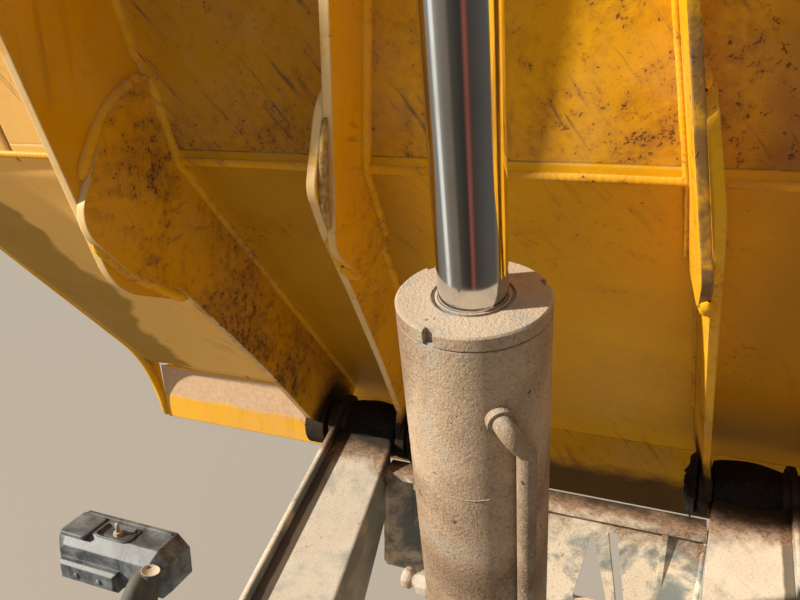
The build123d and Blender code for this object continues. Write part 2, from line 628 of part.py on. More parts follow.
def make_lamp(side):
    x, y, z = side * LAMP_X, LAMP_Y, LAMP_Z
    hollow_width, hollow_height = LAMP_WIDTH - 2 * LAMP_WALL, LAMP_HEIGHT - 2 * LAMP_WALL
    shell = Box(LAMP_WIDTH, LAMP_DEPTH, LAMP_HEIGHT)
    shell = chamfer(shell.edges().filter_by(Axis.Y), LAMP_CORNER)
    shell = chamfer(shell.faces().sort_by(Axis.Y)[0].edges(), LAMP_BACK_CHAMFER)
    width, deep, tall = LAMP_LEDGE
    ledge = Box(width, 2 * deep, tall)
    ledge = chamfer(ledge.faces().sort_by(Axis.Y)[0].edges(), LAMP_LEDGE_CHAMFER)
    shell = shell + Pos(-side * LAMP_LEDGE_PLACE[0], -LAMP_DEPTH / 2, LAMP_LEDGE_PLACE[1]) * ledge
    width, deep, tall = LAMP_DISH
    shell = shell - Pos(0, 0, LAMP_HEIGHT / 2) * Box(width, deep, tall)
    cavity = Pos(0, LAMP_WALL + LAMP_BACK_CHAMFER, 0) * Box(hollow_width, LAMP_DEPTH, hollow_height)
    shell = shell - chamfer(cavity.edges().filter_by(Axis.Y), LAMP_CORNER)
    lens = Pos(0, LAMP_DEPTH / 2 - LENS_INSET, 0) * Box(hollow_width - LENS_PLAY, LENS_THICK, hollow_height - LENS_PLAY)
    lens = chamfer(lens.edges().filter_by(Axis.Y), LAMP_CORNER)
    place = Pos(x, y, z)
    foot_x = side * (arm_edge(STALK_Y, True) - ARM_WALL)
    stalk_x = side * (LAMP_X - STALK_INBOARD)
    back = y - LAMP_DEPTH / 2
    points = (Vector(foot_x, STALK_Y, STALK_Z), Vector(stalk_x, STALK_Y, STALK_Z),
              Vector(stalk_x, back - STALK_BEND_R - STALK_THROAT, STALK_TOP_Z), Vector(stalk_x, back, STALK_TOP_Z))
    path = FilletPolyline(*points, radius=STALK_BEND_R)
    section = Plane(origin=path @ 0, z_dir=path % 0)
    stalk = sweep(section * Circle(STALK_R), path=path)
    flange = cross_rod(STALK_Y, STALK_Z, STALK_FLANGE_R, foot_x, foot_x + side * (ARM_WALL + STALK_FLANGE_THICK))
    stalk = stalk + flange - arm_solid(side, 0.0, 0.0)
    return {"housing": place * shell, "lens": place * lens, "stalk": stalk}


def main():
    os.makedirs("parts", exist_ok=True)
    ring_lower, ring_upper = make_slew_rings()
    save(ring_lower, "slew_ring_fixed")
    save(ring_upper, "slew_ring_turning")
    save(make_table(), "turntable_plate")

    for side, word in ((-1, "left"), (1, "right")):
        eye = make_arm_eye(side)
        box, plate = make_arm(side, eye)
        save(box, "arm_box_" + word)
        save(plate, "arm_outer_plate_" + word)
        inner = side * (INNER_BOSS_X[0] - PIN_OVERHANG)
        outer = side * (OUTER_BOSS_X[1] + PIN_OVERHANG)
        save(eye - cross_rod(HINGE_Y, HINGE_Z, PIN_R, -BIG, BIG), "arm_hinge_eye_" + word)
        save(cross_rod(HINGE_Y, HINGE_Z, PIN_R, inner, outer), "hinge_pin_" + word)
        for name, shape in make_lamp(side).items():
            save(shape, "lamp_" + name + "_" + word)
    save(make_cross_member(), "cross_member")
    save(make_foot_clevis(), "ram_foot_clevis")
    pin_half = BASE_EYE_WIDTH / 2 + CLEVIS_GAP + CLEVIS_PLATE + PIN_HEAD
    save(cross_rod(RAM_FOOT_Y, RAM_FOOT_Z, RAM_PIN_R, -pin_half, pin_half), "ram_foot_pin")

    for name, shape in make_ram().items():
        save(lean_ram(shape), name)

    block = skip_block()
    for name, shape in make_skip_panels(block).items():
        save(raise_skip(shape), "skip_" + name)
    save(raise_skip(make_lip()), "skip_lip")
    for name, shape in make_rims().items():
        save(raise_skip(shape), "skip_" + name)
    for name, shape in make_ribs(block).items():
        save(raise_skip(shape), name)
    save(raise_skip(make_head_bracket()), "ram_head_bracket")
    head_y, head_z = lowered_head()
    head_half = HEAD_EYE_WIDTH / 2 + CLEVIS_GAP + CLEVIS_PLATE + PIN_HEAD
    ends = None
    for side in (-1, 1):
        end = cross_rod(head_y, head_z, RAM_PIN_R, side * (HEAD_EYE_WIDTH / 2 + CLEVIS_GAP), side * head_half)
        ends = end if ends is None else ends + end
    save(raise_skip(ends), "ram_head_pin")


main()
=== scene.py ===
import math
import bpy
import numpy as np
from mathutils import Matrix, Vector


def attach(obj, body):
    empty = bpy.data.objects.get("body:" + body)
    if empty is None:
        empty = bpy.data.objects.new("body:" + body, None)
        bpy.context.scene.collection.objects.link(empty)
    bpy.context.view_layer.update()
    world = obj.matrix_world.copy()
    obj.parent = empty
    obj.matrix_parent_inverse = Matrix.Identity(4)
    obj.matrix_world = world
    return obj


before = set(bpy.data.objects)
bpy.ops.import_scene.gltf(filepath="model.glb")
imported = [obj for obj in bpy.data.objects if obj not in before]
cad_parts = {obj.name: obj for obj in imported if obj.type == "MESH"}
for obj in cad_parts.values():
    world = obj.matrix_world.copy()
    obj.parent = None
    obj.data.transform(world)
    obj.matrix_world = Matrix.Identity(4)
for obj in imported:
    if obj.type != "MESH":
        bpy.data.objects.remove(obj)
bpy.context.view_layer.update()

# Camera: close behind the ram, a little above it and turned to the left
CAMERA_AT = (0.1694, -0.6183, 1.1298)
CAMERA_YAW = 20.68
CAMERA_PITCH = 16.79
CAMERA_LENS = 31.32
SENSOR_WIDTH = 36.0

# Floor, sun and sky
FLOOR_Z = -0.62
FLOOR_HALF_SIZE = 14.0
FLOOR_COLOUR = (0.41, 0.36, 0.30)
SUN_ENERGY = 7.2
SUN_DIRECTION = (0.92, 0.50, -0.50)
SUN_COLOUR = (1.0, 0.93, 0.82)
SUN_SPREAD = 1.6
SKY_STRENGTH = 0.34
SKY_COLOUR = (0.78, 0.88, 1.0, 1)

# What the bright rod mirrors, by the turn round the ram in degrees from the side of the camera
MIRROR_BANDS = (
    (-170, (0.10, 0.10, 0.10)), (-119, (0.12, 0.10, 0.08)), (-100, (0.19, 0.16, 0.13)),
    (-82, (0.18, 0.18, 0.16)), (-76, (0.75, 0.75, 0.72)), (-68, (0.82, 0.82, 0.78)),
    (-62, (0.22, 0.21, 0.19)), (-50, (0.15, 0.13, 0.105)), (-27, (0.13, 0.105, 0.08)),
    (-19, (0.05, 0.042, 0.032)), (3, (0.028, 0.027, 0.022)), (14, (0.028, 0.02, 0.016)),
    (19, (0.14, 0.05, 0.04)), (24, (0.25, 0.07, 0.05)), (30, (0.14, 0.05, 0.035)),
    (35, (0.05, 0.035, 0.028)), (56, (0.055, 0.050, 0.045)), (78, (0.072, 0.066, 0.060)),
    (100, (0.080, 0.072, 0.060)), (112, (0.20, 0.13, 0.06)), (124, (0.34, 0.20, 0.08)),
    (146, (0.90, 0.52, 0.14)), (170, (0.20, 0.15, 0.10)))

# Sizes repeated from the solids, in metres: hinge, bend of the skip, ram
HINGE = np.array([0.656, 0.420])
BEND = np.array([-0.0686, 0.2123])
RAISED = math.radians(70.3)
SLOPE = math.radians(24.5)
BACK_LEAN = math.radians(14)
SLOPE_LENGTH = 0.884
FLOOR_HALF = 0.952
RAM_FOOT = np.array([0.0, 0.2358, 0.1977])
RAM_LEAN = math.radians(14.93)
RAM_AXIS = (0.0, -0.258, 0.966)
BARREL_R = 0.080
RIB_PLATE = 0.012
SIDES = ((-1, "left"), (1, "right"))

# Planes of the ribs' faces: half spacing at the bend, its growth forward and its growth upward
INNER_RIB = (0.1948, 0.1616, -0.1424)
OUTER_RIB = (0.487, -0.020, 0.0)

# The body that a new piece rides on, and a slot of the record, which the code does not use
SKIP_PAINT = ("skip", "yellow_paint")
SKIP_STEEL = ("skip", "pin_steel")
FRAME_PAINT = ("swivel_frame", "frame_paint")
FRAME_STEEL = ("swivel_frame", "pin_steel")
FRAME_RING = ("swivel_frame", "ring_steel")
FRAME_PLASTIC = ("swivel_frame", "black_plastic")
RAM_PAINT = ("ram_cylinder", "ram_paint")

# Nearly nothing: the radius that shuts a turned form at its end
SHUT = 0.0001

# Any direction that none of the turned forms has as its axis
ASKEW = (0.31, 0.17, 0.93)


# Places

def raised(x, ahead, above):
    """Point on the raised skip from its lowered drawing.
    (forward, up) is turned about the hinge by the raised angle."""
    y = BEND[0] + ahead - HINGE[0]
    z = BEND[1] + above - HINGE[1]
    c, s = math.cos(RAISED), math.sin(RAISED)
    point = np.broadcast_arrays(x, HINGE[0] + y * c + z * s, HINGE[1] - y * s + z * c)
    return np.stack(point, axis=-1).astype(float)


def on_slope(along, depth):
    """Forward and up from the bend of a point along the slope panel, 'depth' below it."""
    along, depth = np.asarray(along, float), np.asarray(depth, float)
    return (along * math.cos(SLOPE) + depth * math.sin(SLOPE),
            along * math.sin(SLOPE) - depth * math.cos(SLOPE))


def slope_point(along, depth=0.0):
    """The same as a pair of plain numbers."""
    return tuple(float(v) for v in on_slope(along, depth))


def rib_path(rib, offset, stations):
    """Points on a rib's face from (forward, up) stations, on the right side of the machine.
    The half spacing is a plane in forward and up."""
    ahead, above = np.array(stations, float).T
    return raised(rib[0] + offset + rib[1] * ahead + rib[2] * above, ahead, above)


def on_ram(along, radius, turn):
    """Point round the ram: turn is 0 at its front and a right angle at the machine's right."""
    lean_up = np.array([0, -math.sin(RAM_LEAN), math.cos(RAM_LEAN)])
    front = np.array([0, -math.cos(RAM_LEAN), -math.sin(RAM_LEAN)])
    side = np.array([1.0, 0, 0])
    along, radius, turn = (np.asarray(v, float)[..., None] for v in (along, radius, turn))
    return RAM_FOOT + lean_up * along + radius * (np.cos(turn) * front + np.sin(turn) * side)


def mirrored(points, side):
    return points * np.array([side, 1.0, 1.0])


def rounded(points, passes=3):
    """Corner cutting: each pass puts points at a quarter and three quarters of every side."""
    points = np.asarray(points, float)
    for _ in range(passes):
        a, b = points[:-1], points[1:]
        inner = np.stack([0.75 * a + 0.25 * b, 0.25 * a + 0.75 * b], axis=1).reshape(-1, points.shape[1])
        points = np.concatenate([points[:1], inner, points[-1:]])
    return points


# Mesh making

def surface(name, grid, place, finish, close_u=False, close_v=False):
    """Mesh from a grid of points [u, v]: neighbours in u and v make the quads, closed where asked."""
    rows, cols = grid.shape[:2]
    u = np.arange(rows if close_u else rows - 1)
    v = np.arange(cols if close_v else cols - 1)
    a, b = np.meshgrid(u, v, indexing="ij")
    c, d = (a + 1) % rows, (b + 1) % cols
    quads = np.stack([a * cols + b, c * cols + b, c * cols + d, a * cols + d], axis=-1).reshape(-1, 4)
    mesh = bpy.data.meshes.new(name)
    mesh.from_pydata(grid.reshape(-1, 3).tolist(), [], quads.tolist())
    mesh.polygons.foreach_set("use_smooth", np.ones(len(quads), bool))
    mesh.materials.append(MATERIALS[finish])
    mesh.update()
    piece = bpy.data.objects.new(name, mesh)
    bpy.context.scene.collection.objects.link(piece)
    body, slot = place
    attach(piece, body)


def dense(points, step):
    """The same path with a point every 'step', by length along it, and those lengths."""
    points = np.asarray(points, float)
    run = np.concatenate([[0], np.cumsum(np.linalg.norm(np.diff(points, axis=0), axis=1))])
    at = np.linspace(0, run[-1], max(int(run[-1] / step), 2) + 1)
    return np.stack([np.interp(at, run, points[:, i]) for i in range(3)], axis=1), at


def tube(path, radius, sides, up=(0, 0, 1.0)):
    """Grid round a path: centre + radius * (cos a * normal + sin a * binormal).
    The normal is kept square to 'up'. The radius is one number, or one for each point."""
    tangent = np.gradient(path, axis=0)
    tangent /= np.linalg.norm(tangent, axis=1)[:, None]
    normal = np.cross(tangent, np.asarray(up, float))
    normal /= np.linalg.norm(normal, axis=1)[:, None]
    binormal = np.cross(tangent, normal)
    a = np.linspace(0, 2 * math.pi, sides, endpoint=False)
    radius = np.broadcast_to(np.asarray(radius, float), (len(path),))[:, None, None]
    ring = np.cos(a)[None, :, None] * normal[:, None] + np.sin(a)[None, :, None] * binormal[:, None]
    return path[:, None] + radius * ring


# Weld beads: step of the path, pitch and share of the ripple, share and knots of the slow noise
WELD_STEP = 0.0024
WELD_PITCH = 0.0085
WELD_RIPPLE = 0.028
WELD_SLOW = 0.07
WELD_KNOTS = 24
WELD_SIDES = 8


def weld(name, points, place, finish, size, up=(0, 0, 1.0), seed=0):
    """Weld bead: a tube with shut ends, whose radius ripples along its length s.
    radius = size * (1 + share * sin(2 pi s / pitch) + slow noise)"""
    path, s = dense(points, WELD_STEP)
    rng = np.random.default_rng(seed)
    slow = np.interp(s, np.linspace(0, s[-1], WELD_KNOTS), rng.normal(0, WELD_SLOW, WELD_KNOTS))
    ripple = 1 + WELD_RIPPLE * np.sin(2 * math.pi * s / WELD_PITCH) + slow
    ends = np.clip(np.minimum(s, s[-1] - s) / (1.5 * size), 0.05, 1) ** 0.5
    surface(name, tube(path, size * ripple * ends, WELD_SIDES, up), place, finish, close_v=True)


def turned(centre, axis, profile, sides):
    """Turned form: profile (radius, height) swept round 'axis'.
    Where a third number in the profile is 1, the radius follows a hexagon."""
    axis = np.asarray(axis, float) / np.linalg.norm(axis)
    side = np.cross(axis, ASKEW)
    side /= np.linalg.norm(side)
    other = np.cross(axis, side)
    a = np.linspace(0, 2 * math.pi, sides, endpoint=False)
    profile = np.asarray(profile, float)
    radius = profile[:, :1] * np.ones_like(a)
    if profile.shape[1] > 2:
        part = math.pi / 3
        flat = math.cos(part / 2) / np.cos((a % part) - part / 2)
        radius = np.where(profile[:, 2:3] > 0, profile[:, :1] * flat, radius)
    ring = np.cos(a)[:, None] * side + np.sin(a)[:, None] * other
    return np.asarray(centre) + profile[:, 1][:, None, None] * axis + radius[..., None] * ring[None]


def bolt(name, centre, axis, size, place, finish):
    """Hex bolt head on a washer: rows of (radius, height, hexagon or round)."""
    head, washer = size * 0.95, size * 1.35
    profile = [(SHUT, -0.001, 0), (washer, -0.001, 0), (washer, size * 0.20, 0), (head, size * 0.22, 1),
               (head, size * 0.80, 1), (head * 0.86, size * 0.92, 1), (SHUT, size * 0.93, 1)]
    surface(name, turned(centre, axis, profile, 36), place, finish, close_v=True)


def swollen(t, power):
    """sign(t) |t|^power: pushes the coordinate of a circle or a sphere out towards a square's."""
    return np.sign(t) * np.abs(t) ** power


def slab(name, centre, half, power, place, finish):
    """Rounded slab, a superellipsoid.
    Each axis is half * sign(t) |t|^power, with t the sphere's own coordinate."""
    lat = np.linspace(-math.pi / 2, math.pi / 2, 25)[None, :]
    lon = np.linspace(0, 2 * math.pi, 64, endpoint=False)[:, None]
    ball = np.broadcast_arrays(np.cos(lat) * np.cos(lon), np.cos(lat) * np.sin(lon), np.sin(lat))
    ball = np.stack(ball, axis=-1)
    grid = np.asarray(centre) + np.asarray(half) * swollen(ball, power)
    surface(name, grid, place, finish, close_u=True)


# Node making

def node(tree, kind, settings=None, **inputs):
    """New shader node. settings are its properties; inputs are values or sockets, by name or number."""
    made = tree.nodes.new(kind)
    for key, value in (settings or {}).items():
        setattr(made, key, value)
    for key, value in inputs.items():
        by_number = key[0] == "i" and key[1:].isdigit()
        socket = made.inputs[int(key[1:]) if by_number else key.replace("_", " ")]
        if isinstance(value, bpy.types.NodeSocket):
            tree.links.new(value, socket)
        else:
            socket.default_value = value
    return made


def maths(tree, operation, a, b=0.0, clamp=False):
    return node(tree, "ShaderNodeMath", {"operation": operation, "use_clamp": clamp}, i0=a, i1=b).outputs[0]


def times(tree, a, b, clamp=False):
    return maths(tree, "MULTIPLY", a, b, clamp)


def plus(tree, a, b, clamp=False):
    return maths(tree, "ADD", a, b, clamp)


def size_of(tree, value):
    """The value without its sign."""
    return maths(tree, "ABSOLUTE", value)


def scaled(tree, value, gain, shift=0.0):
    """value * gain + shift"""
    made = node(tree, "ShaderNodeMath", {"operation": "MULTIPLY_ADD"}, i0=value, i1=gain, i2=shift)
    return made.outputs[0]


def mix(tree, factor, a, b):
    """Colour a where factor is 0, colour b where it is 1."""
    a, b = ((*c, 1) if isinstance(c, tuple) else c for c in (a, b))
    return node(tree, "ShaderNodeMix", {"data_type": "RGBA"}, i0=factor, i6=a, i7=b).outputs[2]


def mix_value(tree, factor, a, b):
    """Number a where factor is 0, number b where it is 1."""
    return node(tree, "ShaderNodeMix", {"data_type": "FLOAT"}, i0=factor, i2=a, i3=b).outputs[0]


def ramp(tree, value, low, high):
    """Smooth ramp from 0 at 'low' to 1 at 'high'."""
    settings = {"interpolation_type": "SMOOTHSTEP"}
    return node(tree, "ShaderNodeMapRange", settings, i0=value, i1=low, i2=high).outputs[0]


def noise(tree, vector, scale, detail=6.0, rough=0.6, warp=0.0):
    made = node(tree, "ShaderNodeTexNoise", Vector=vector, Scale=scale, Detail=detail, Roughness=rough,
                Distortion=warp)
    return made.outputs[0]


def vector_maths(tree, operation, a, b=(0.0, 0.0, 0.0)):
    return node(tree, "ShaderNodeVectorMath", {"operation": operation}, i0=a, i1=b).outputs


def stretch(tree, vector, scale):
    return vector_maths(tree, "MULTIPLY", vector, scale)[0]


def axes(tree, vector):
    """The three numbers of a vector."""
    return node(tree, "ShaderNodeSeparateXYZ", Vector=vector).outputs


def own_normal(tree):
    """Where a face looks, in the piece's own axes."""
    return tree.nodes.new("ShaderNodeTexCoord").outputs["Normal"]


def from_hinge(tree, vector):
    """Distance from the hinge line."""
    drop = vector_maths(tree, "SUBTRACT", vector, (0, HINGE[0], HINGE[1]))[0]
    return vector_maths(tree, "LENGTH", stretch(tree, drop, (0.0, 1.0, 1.0)))["Value"]


# Shader groups: they put out masks, and the edge wear also its rounded normal

FLOAT = "NodeSocketFloat"
VECTOR = "NodeSocketVector"
PLACE_IN = ("Vector", VECTOR, None)
MASK_OUT = ("Mask", FLOAT)


def new_group(name, inputs, outputs):
    """Empty node group: its tree, the sockets that come in and the sockets that go out."""
    group = bpy.data.node_groups.new(name, "ShaderNodeTree")
    for label, kind, value in inputs:
        socket = group.interface.new_socket(label, in_out="INPUT", socket_type=kind)
        if value is not None:
            socket.default_value = value
    for label, kind in outputs:
        group.interface.new_socket(label, in_out="OUTPUT", socket_type=kind)
    return group, group.nodes.new("NodeGroupInput").outputs, group.nodes.new("NodeGroupOutput").inputs


def make_rust_specks():
    """Mask of small rust dots that gather in clouds, and a broad brown wash.
    There is more of both as the amount rises."""
    group, given, out = new_group("rust specks", [PLACE_IN, ("Amount", FLOAT, 0.5)],
                                  [MASK_OUT, ("Wash", FLOAT)])
    vector = given["Vector"]
    fine = noise(group, vector, 280.0, 2.0, 0.6)
    middle = noise(group, vector, 78.0, 4.0, 0.62, 0.2)
    broad = noise(group, vector, 4.6, 6.0, 0.62, 0.8)
    level = scaled(group, given["Amount"], 0.30, -0.15)
    field = plus(group, times(group, fine, 0.40), times(group, middle, 0.42))
    field = plus(group, field, plus(group, times(group, broad, 0.34), level))
    group.links.new(ramp(group, field, 0.655, 0.735), out["Mask"])
    wash = plus(group, times(group, broad, 0.74), times(group, middle, 0.28))
    wash = plus(group, wash, level)
    group.links.new(ramp(group, wash, 0.44, 0.72), out["Wash"])
    return group


def make_scrapes():
    """Mask of slanting scrapes: noise drawn out along a line turned about Y, in patches."""
    group, given, out = new_group("slanting scrapes", [PLACE_IN], [MASK_OUT])
    vector = given["Vector"]
    turned_by = node(group, "ShaderNodeMapping", {"vector_type": "TEXTURE"}, Vector=vector,
                     Rotation=(0.0, 0.95, 0.0), Scale=(0.16, 0.06, 0.011))
    lines = noise(group, turned_by.outputs[0], 1.0, 5.0, 0.62, 0.3)
    clouds = noise(group, vector, 5.2, 4.0, 0.6, 0.4)
    both = times(group, ramp(group, lines, 0.54, 0.66), ramp(group, clouds, 0.46, 0.60))
    group.links.new(both, out["Mask"])
    return group


def make_runs():
    """Mask of stains that run down: noise squeezed across and drawn out along Z."""
    group, given, out = new_group("stain runs", [PLACE_IN], [MASK_OUT])
    vector = given["Vector"]
    lines = noise(group, stretch(group, vector, (38.0, 38.0, 2.2)), 1.0, 4.0, 0.55)
    clouds = noise(group, vector, 3.1, 3.0, 0.5)
    both = times(group, ramp(group, lines, 0.52, 0.74), ramp(group, clouds, 0.42, 0.66))
    group.links.new(both, out["Mask"])
    return group


def make_dust():
    """Mask of dust that lies on faces that look up and clings in patches elsewhere."""
    group, given, out = new_group("dust", [PLACE_IN, ("Top", FLOAT, 0.8), ("Cling", FLOAT, 0.3)],
                                  [MASK_OUT])
    up = axes(group, own_normal(group))[2]
    top = times(group, ramp(group, up, 0.15, 0.85), given["Top"])
    grain = noise(group, given["Vector"], 9.0, 8.0, 0.66, 0.4)
    cling = times(group, ramp(group, grain, 0.40, 0.66), given["Cling"])
    broken = times(group, top, ramp(group, grain, 0.26, 0.50))
    group.links.new(maths(group, "MAXIMUM", broken, cling, True), out["Mask"])
    return group


def make_edge_wear():
    """Mask of worn edges, broken by noise.
    An edge is where the normal rounded over a small radius leaves the face's own normal."""
    group, given, out = new_group("edge wear", [PLACE_IN, ("Radius", FLOAT, 0.004)],
                                  [MASK_OUT, ("Normal", VECTOR)])
    rounded_normal = node(group, "ShaderNodeBevel", {"samples": 4}, Radius=given["Radius"]).outputs[0]
    face_normal = group.nodes.new("ShaderNodeNewGeometry").outputs["Normal"]
    alike = vector_maths(group, "DOT_PRODUCT", rounded_normal, face_normal)["Value"]
    bend = maths(group, "SUBTRACT", 1.0, alike, True)
    chips = noise(group, given["Vector"], 34.0, 6.0, 0.7)
    worn = times(group, ramp(group, bend, 0.01, 0.12), ramp(group, chips, 0.44, 0.56))
    group.links.new(worn, out["Mask"])
    group.links.new(rounded_normal, out["Normal"])
    return group


GROUPS = {"specks": make_rust_specks(), "scrapes": make_scrapes(), "runs": make_runs(), "dust": make_dust(),
          "edges": make_edge_wear()}


def use(tree, group, **inputs):
    """A node that stands for one of the groups, with its own values."""
    return node(tree, "ShaderNodeGroup", {"node_tree": GROUPS[group]}, **inputs).outputs


def new_material(name, metallic=0.0):
    """Material with its tree, its shader and the piece's own coordinates."""
    material = bpy.data.materials.new(name)
    material.use_nodes = True
    tree = material.node_tree
    shader = tree.nodes["Principled BSDF"]
    shader.inputs["Metallic"].default_value = metallic
    vector = tree.nodes.new("ShaderNodeTexCoord").outputs["Object"]
    return material, tree, shader, vector


def finish_surface(tree, shader, colour, rough, height, bump=0.3, distance=0.001, normal=None):
    """Feed the shader: colour, roughness, and a bump of that height over the normal given."""
    tree.links.new(colour, shader.inputs["Base Color"])
    tree.links.new(rough, shader.inputs["Roughness"])
    made = node(tree, "ShaderNodeBump", Strength=bump, Distance=distance, Height=height)
    if normal is not None:
        tree.links.new(normal, made.inputs["Normal"])
    tree.links.new(made.outputs[0], shader.inputs["Normal"])


def over(tree, colour, mask, share, paint):
    """Lay a paint over the colour where the mask is 1, as thick as 'share'."""
    return mix(tree, times(tree, mask, share), colour, paint)


def patches(tree, vector, low, high, *settings):
    """Mask of patches: noise that passes a smooth ramp. The settings are those of the noise."""
    return ramp(tree, noise(tree, vector, *settings), low, high)


def tinted(colour, share):
    return tuple(c * share for c in colour)


# Colours of the yellow paint and of what lies on it

YELLOW_DEEP = (0.66, 0.295, 0.002)
YELLOW_PALE = (0.84, 0.455, 0.008)
YELLOW_CHALKY = (0.84, 0.52, 0.17)
# Painted shade: smoky yellow for the bays between the ribs
YELLOW_BAY_SHADE = (0.26, 0.115, 0.006)
# Painted shade: grimy olive past the fold of the outer plating
YELLOW_FOLD_SHADE = (0.30, 0.17, 0.010)
RUST_DARK = (0.085, 0.032, 0.020)
RUST_BROWN = (0.25, 0.100, 0.022)
SCRAPE_BROWN = (0.15, 0.072, 0.034)
EDGE_BARE = (0.62, 0.40, 0.17)
# Free edges of the ribs: cream is painted sunlight on worn edges, dark is dirt and painted shade
EDGE_CREAM_SUNLIT = (0.74, 0.52, 0.25)
EDGE_DIRT_AND_SHADE = (0.15, 0.088, 0.040)
SAND = (0.56, 0.40, 0.25)
LIP_DUST = ((0.30, 0.19, 0.12), (0.78, 0.58, 0.42))
# Dark brown low on the lip: dirt and painted shade
LIP_DIRT_AND_SHADE = (0.070, 0.042, 0.020)
SCRAPED_STEEL = ((0.16, 0.13, 0.11), (0.34, 0.29, 0.24))
DRIED_EARTH = (0.30, 0.21, 0.13)
# Grease by the hinge, darkened as painted shade
SMEARED_GREASE_AND_SHADE = ((0.010, 0.007, 0.005), (0.055, 0.036, 0.022))


def weathered_yellow(name, rust, wash, dust, runs, pale, wear=0.004, scrape=0.4, dents=0.0, outboard=0.0,
                     stain=0.0, inward=None, grease=False, free_edge=None, lip_dust_and_shade=False, far_rust=0.2,
                     bay_shade=0.0, fold_shade=0.0, shift=(0.0, 0.0, 0.0)):
    """Old yellow paint: colour drifts between two yellows, and over it lie brown wash, scrapes, runs, dust,
    rust dots and bare edges. 'outboard' is chalky paint beyond the outer ribs, and 'far_rust' the share of
    rust that is left there. The bay setting is painted shade between the ribs, and 'stain' is brown to the
    rear and the right, partly stain and partly painted shade. The fold setting is painted shade past the
    fold of the outer plating, the free edge is painted light or shade on the ribs' worn edges, the lip
    setting is dust and dirt with painted shade, and the grease by the hinge is darkened as painted shade."""
    material, tree, shader, vector = new_material(name)
    tone = noise(tree, vector, 2.4, 5.0, 0.6, 0.6)
    fade = plus(tree, scaled(tree, tone, 2.2, -1.1), pale, True)
    colour = mix(tree, fade, YELLOW_DEEP, YELLOW_PALE)
    place = axes(tree, vector)
    beyond = ramp(tree, size_of(tree, place[0]), OUTER_RIB[0] - 0.002, OUTER_RIB[0] + 0.020)
    colour = over(tree, colour, beyond, outboard, YELLOW_CHALKY)
    # Painted shade past the fold of the outer plating
    if fold_shade:
        colour = over(tree, colour, far_border(tree, vector, place), fold_shade, YELLOW_FOLD_SHADE)
    # Painted shade in the bays between the ribs
    if bay_shade:
        colour = over(tree, colour, between_ribs(tree, place), bay_shade, YELLOW_BAY_SHADE)
    moved = vector_maths(tree, "ADD", vector, shift)[0]
    kept = scaled(tree, beyond, far_rust - 1.0, 1.0)
    specks = use(tree, "specks", Vector=moved, Amount=times(tree, kept, rust))
    brown = times(tree, specks["Wash"], wash)
    # Brown to the rear and the right: partly stain, partly painted shade
    if stain:
        brown = maths(tree, "MAXIMUM", brown, times(tree, rear_and_right(tree, vector, place), stain))
    colour = mix(tree, brown, colour, RUST_BROWN)
    colour = over(tree, colour, use(tree, "scrapes", Vector=vector)["Mask"], scrape, SCRAPE_BROWN)
    colour = over(tree, colour, use(tree, "runs", Vector=vector)["Mask"], runs, RUST_BROWN)
    lying = use(tree, "dust", Vector=vector, Top=dust, Cling=dust * 0.5)["Mask"]
    colour = over(tree, colour, lying, 0.7, SAND)
    # Free edge where worn: cream as painted sunlight, or dark as dirt and painted shade
    if free_edge:
        off_face = ramp(tree, size_of(tree, axes(tree, own_normal(tree))[0]), 0.62, 0.30)
        worn = patches(tree, vector, 0.30, 0.52, 16.0, 6.0, 0.66, 0.3)
        colour = over(tree, colour, times(tree, off_face, worn), 0.9, free_edge)
    # Dust on the lip, and dirt with painted shade low on it
    if lip_dust_and_shade:
        colour = dust_and_shade_on_lip(tree, vector, place, colour)
    colour = over(tree, colour, specks["Mask"], 0.85, RUST_DARK)
    edge = use(tree, "edges", Vector=vector, Radius=wear)
    colour = over(tree, colour, edge["Mask"], 0.6, EDGE_BARE)
    dull = scaled(tree, maths(tree, "MAXIMUM", specks["Mask"], lying), 0.35, 0.34)
    rough = plus(tree, dull, times(tree, tone, 0.20))
    if inward:
        colour, rough = steel_inside(tree, vector, colour, rough, inward)
    # Grease by the hinge, darkened as painted shade
    if grease:
        colour, rough = grease_and_shade_near_hinge(tree, vector, colour, rough)
    grit = noise(tree, vector, 190.0, 3.0, 0.7)
    height = plus(tree, times(tree, specks["Mask"], -0.5), times(tree, grit, 0.35))
    height = plus(tree, height, times(tree, noise(tree, vector, 42.0, 4.0, 0.55), 0.45))
    if dents:
        height = plus(tree, height, times(tree, noise(tree, vector, 5.0, 2.0, 0.4, 0.5), dents))
    finish_surface(tree, shader, colour, rough, height, 0.5, 0.0016, edge["Normal"])
    shader.inputs["Specular IOR Level"].default_value = 0.12
    return material


def far_border(tree, vector, place):
    """Mask of painted shade along the outer border of the slope's plating, past a wandering line."""
    wander = times(tree, noise(tree, vector, 5.5, 3.0, 0.5, 0.6), 0.22)
    return ramp(tree, plus(tree, size_of(tree, place[0]), wander), FLOOR_HALF + 0.095, FLOOR_HALF + 0.125)


def between_ribs(tree, place):
    """Mask of painted shade in the bays of the skip: left of the middle, and right of the right inner rib.
    """
    left = times(tree, ramp(tree, place[0], -0.52, -0.44), ramp(tree, place[0], -0.10, -0.20))
    return maths(tree, "MAXIMUM", left, times(tree, ramp(tree, place[0], 0.24, 0.34), 0.8))


def rear_and_right(tree, vector, place):
    """Mask high up, towards the skip's rear, and far to the right, with drifting borders: partly brown
    stain, partly painted shade.
    """
    drift = times(tree, noise(tree, vector, 3.0, 5.0, 0.6, 0.5), 0.30)
    rear = ramp(tree, plus(tree, place[2], drift), 1.30, 1.60)
    right = ramp(tree, plus(tree, place[0], drift), 0.36, 0.48)
    return maths(tree, "MAXIMUM", times(tree, rear, 0.8), right)


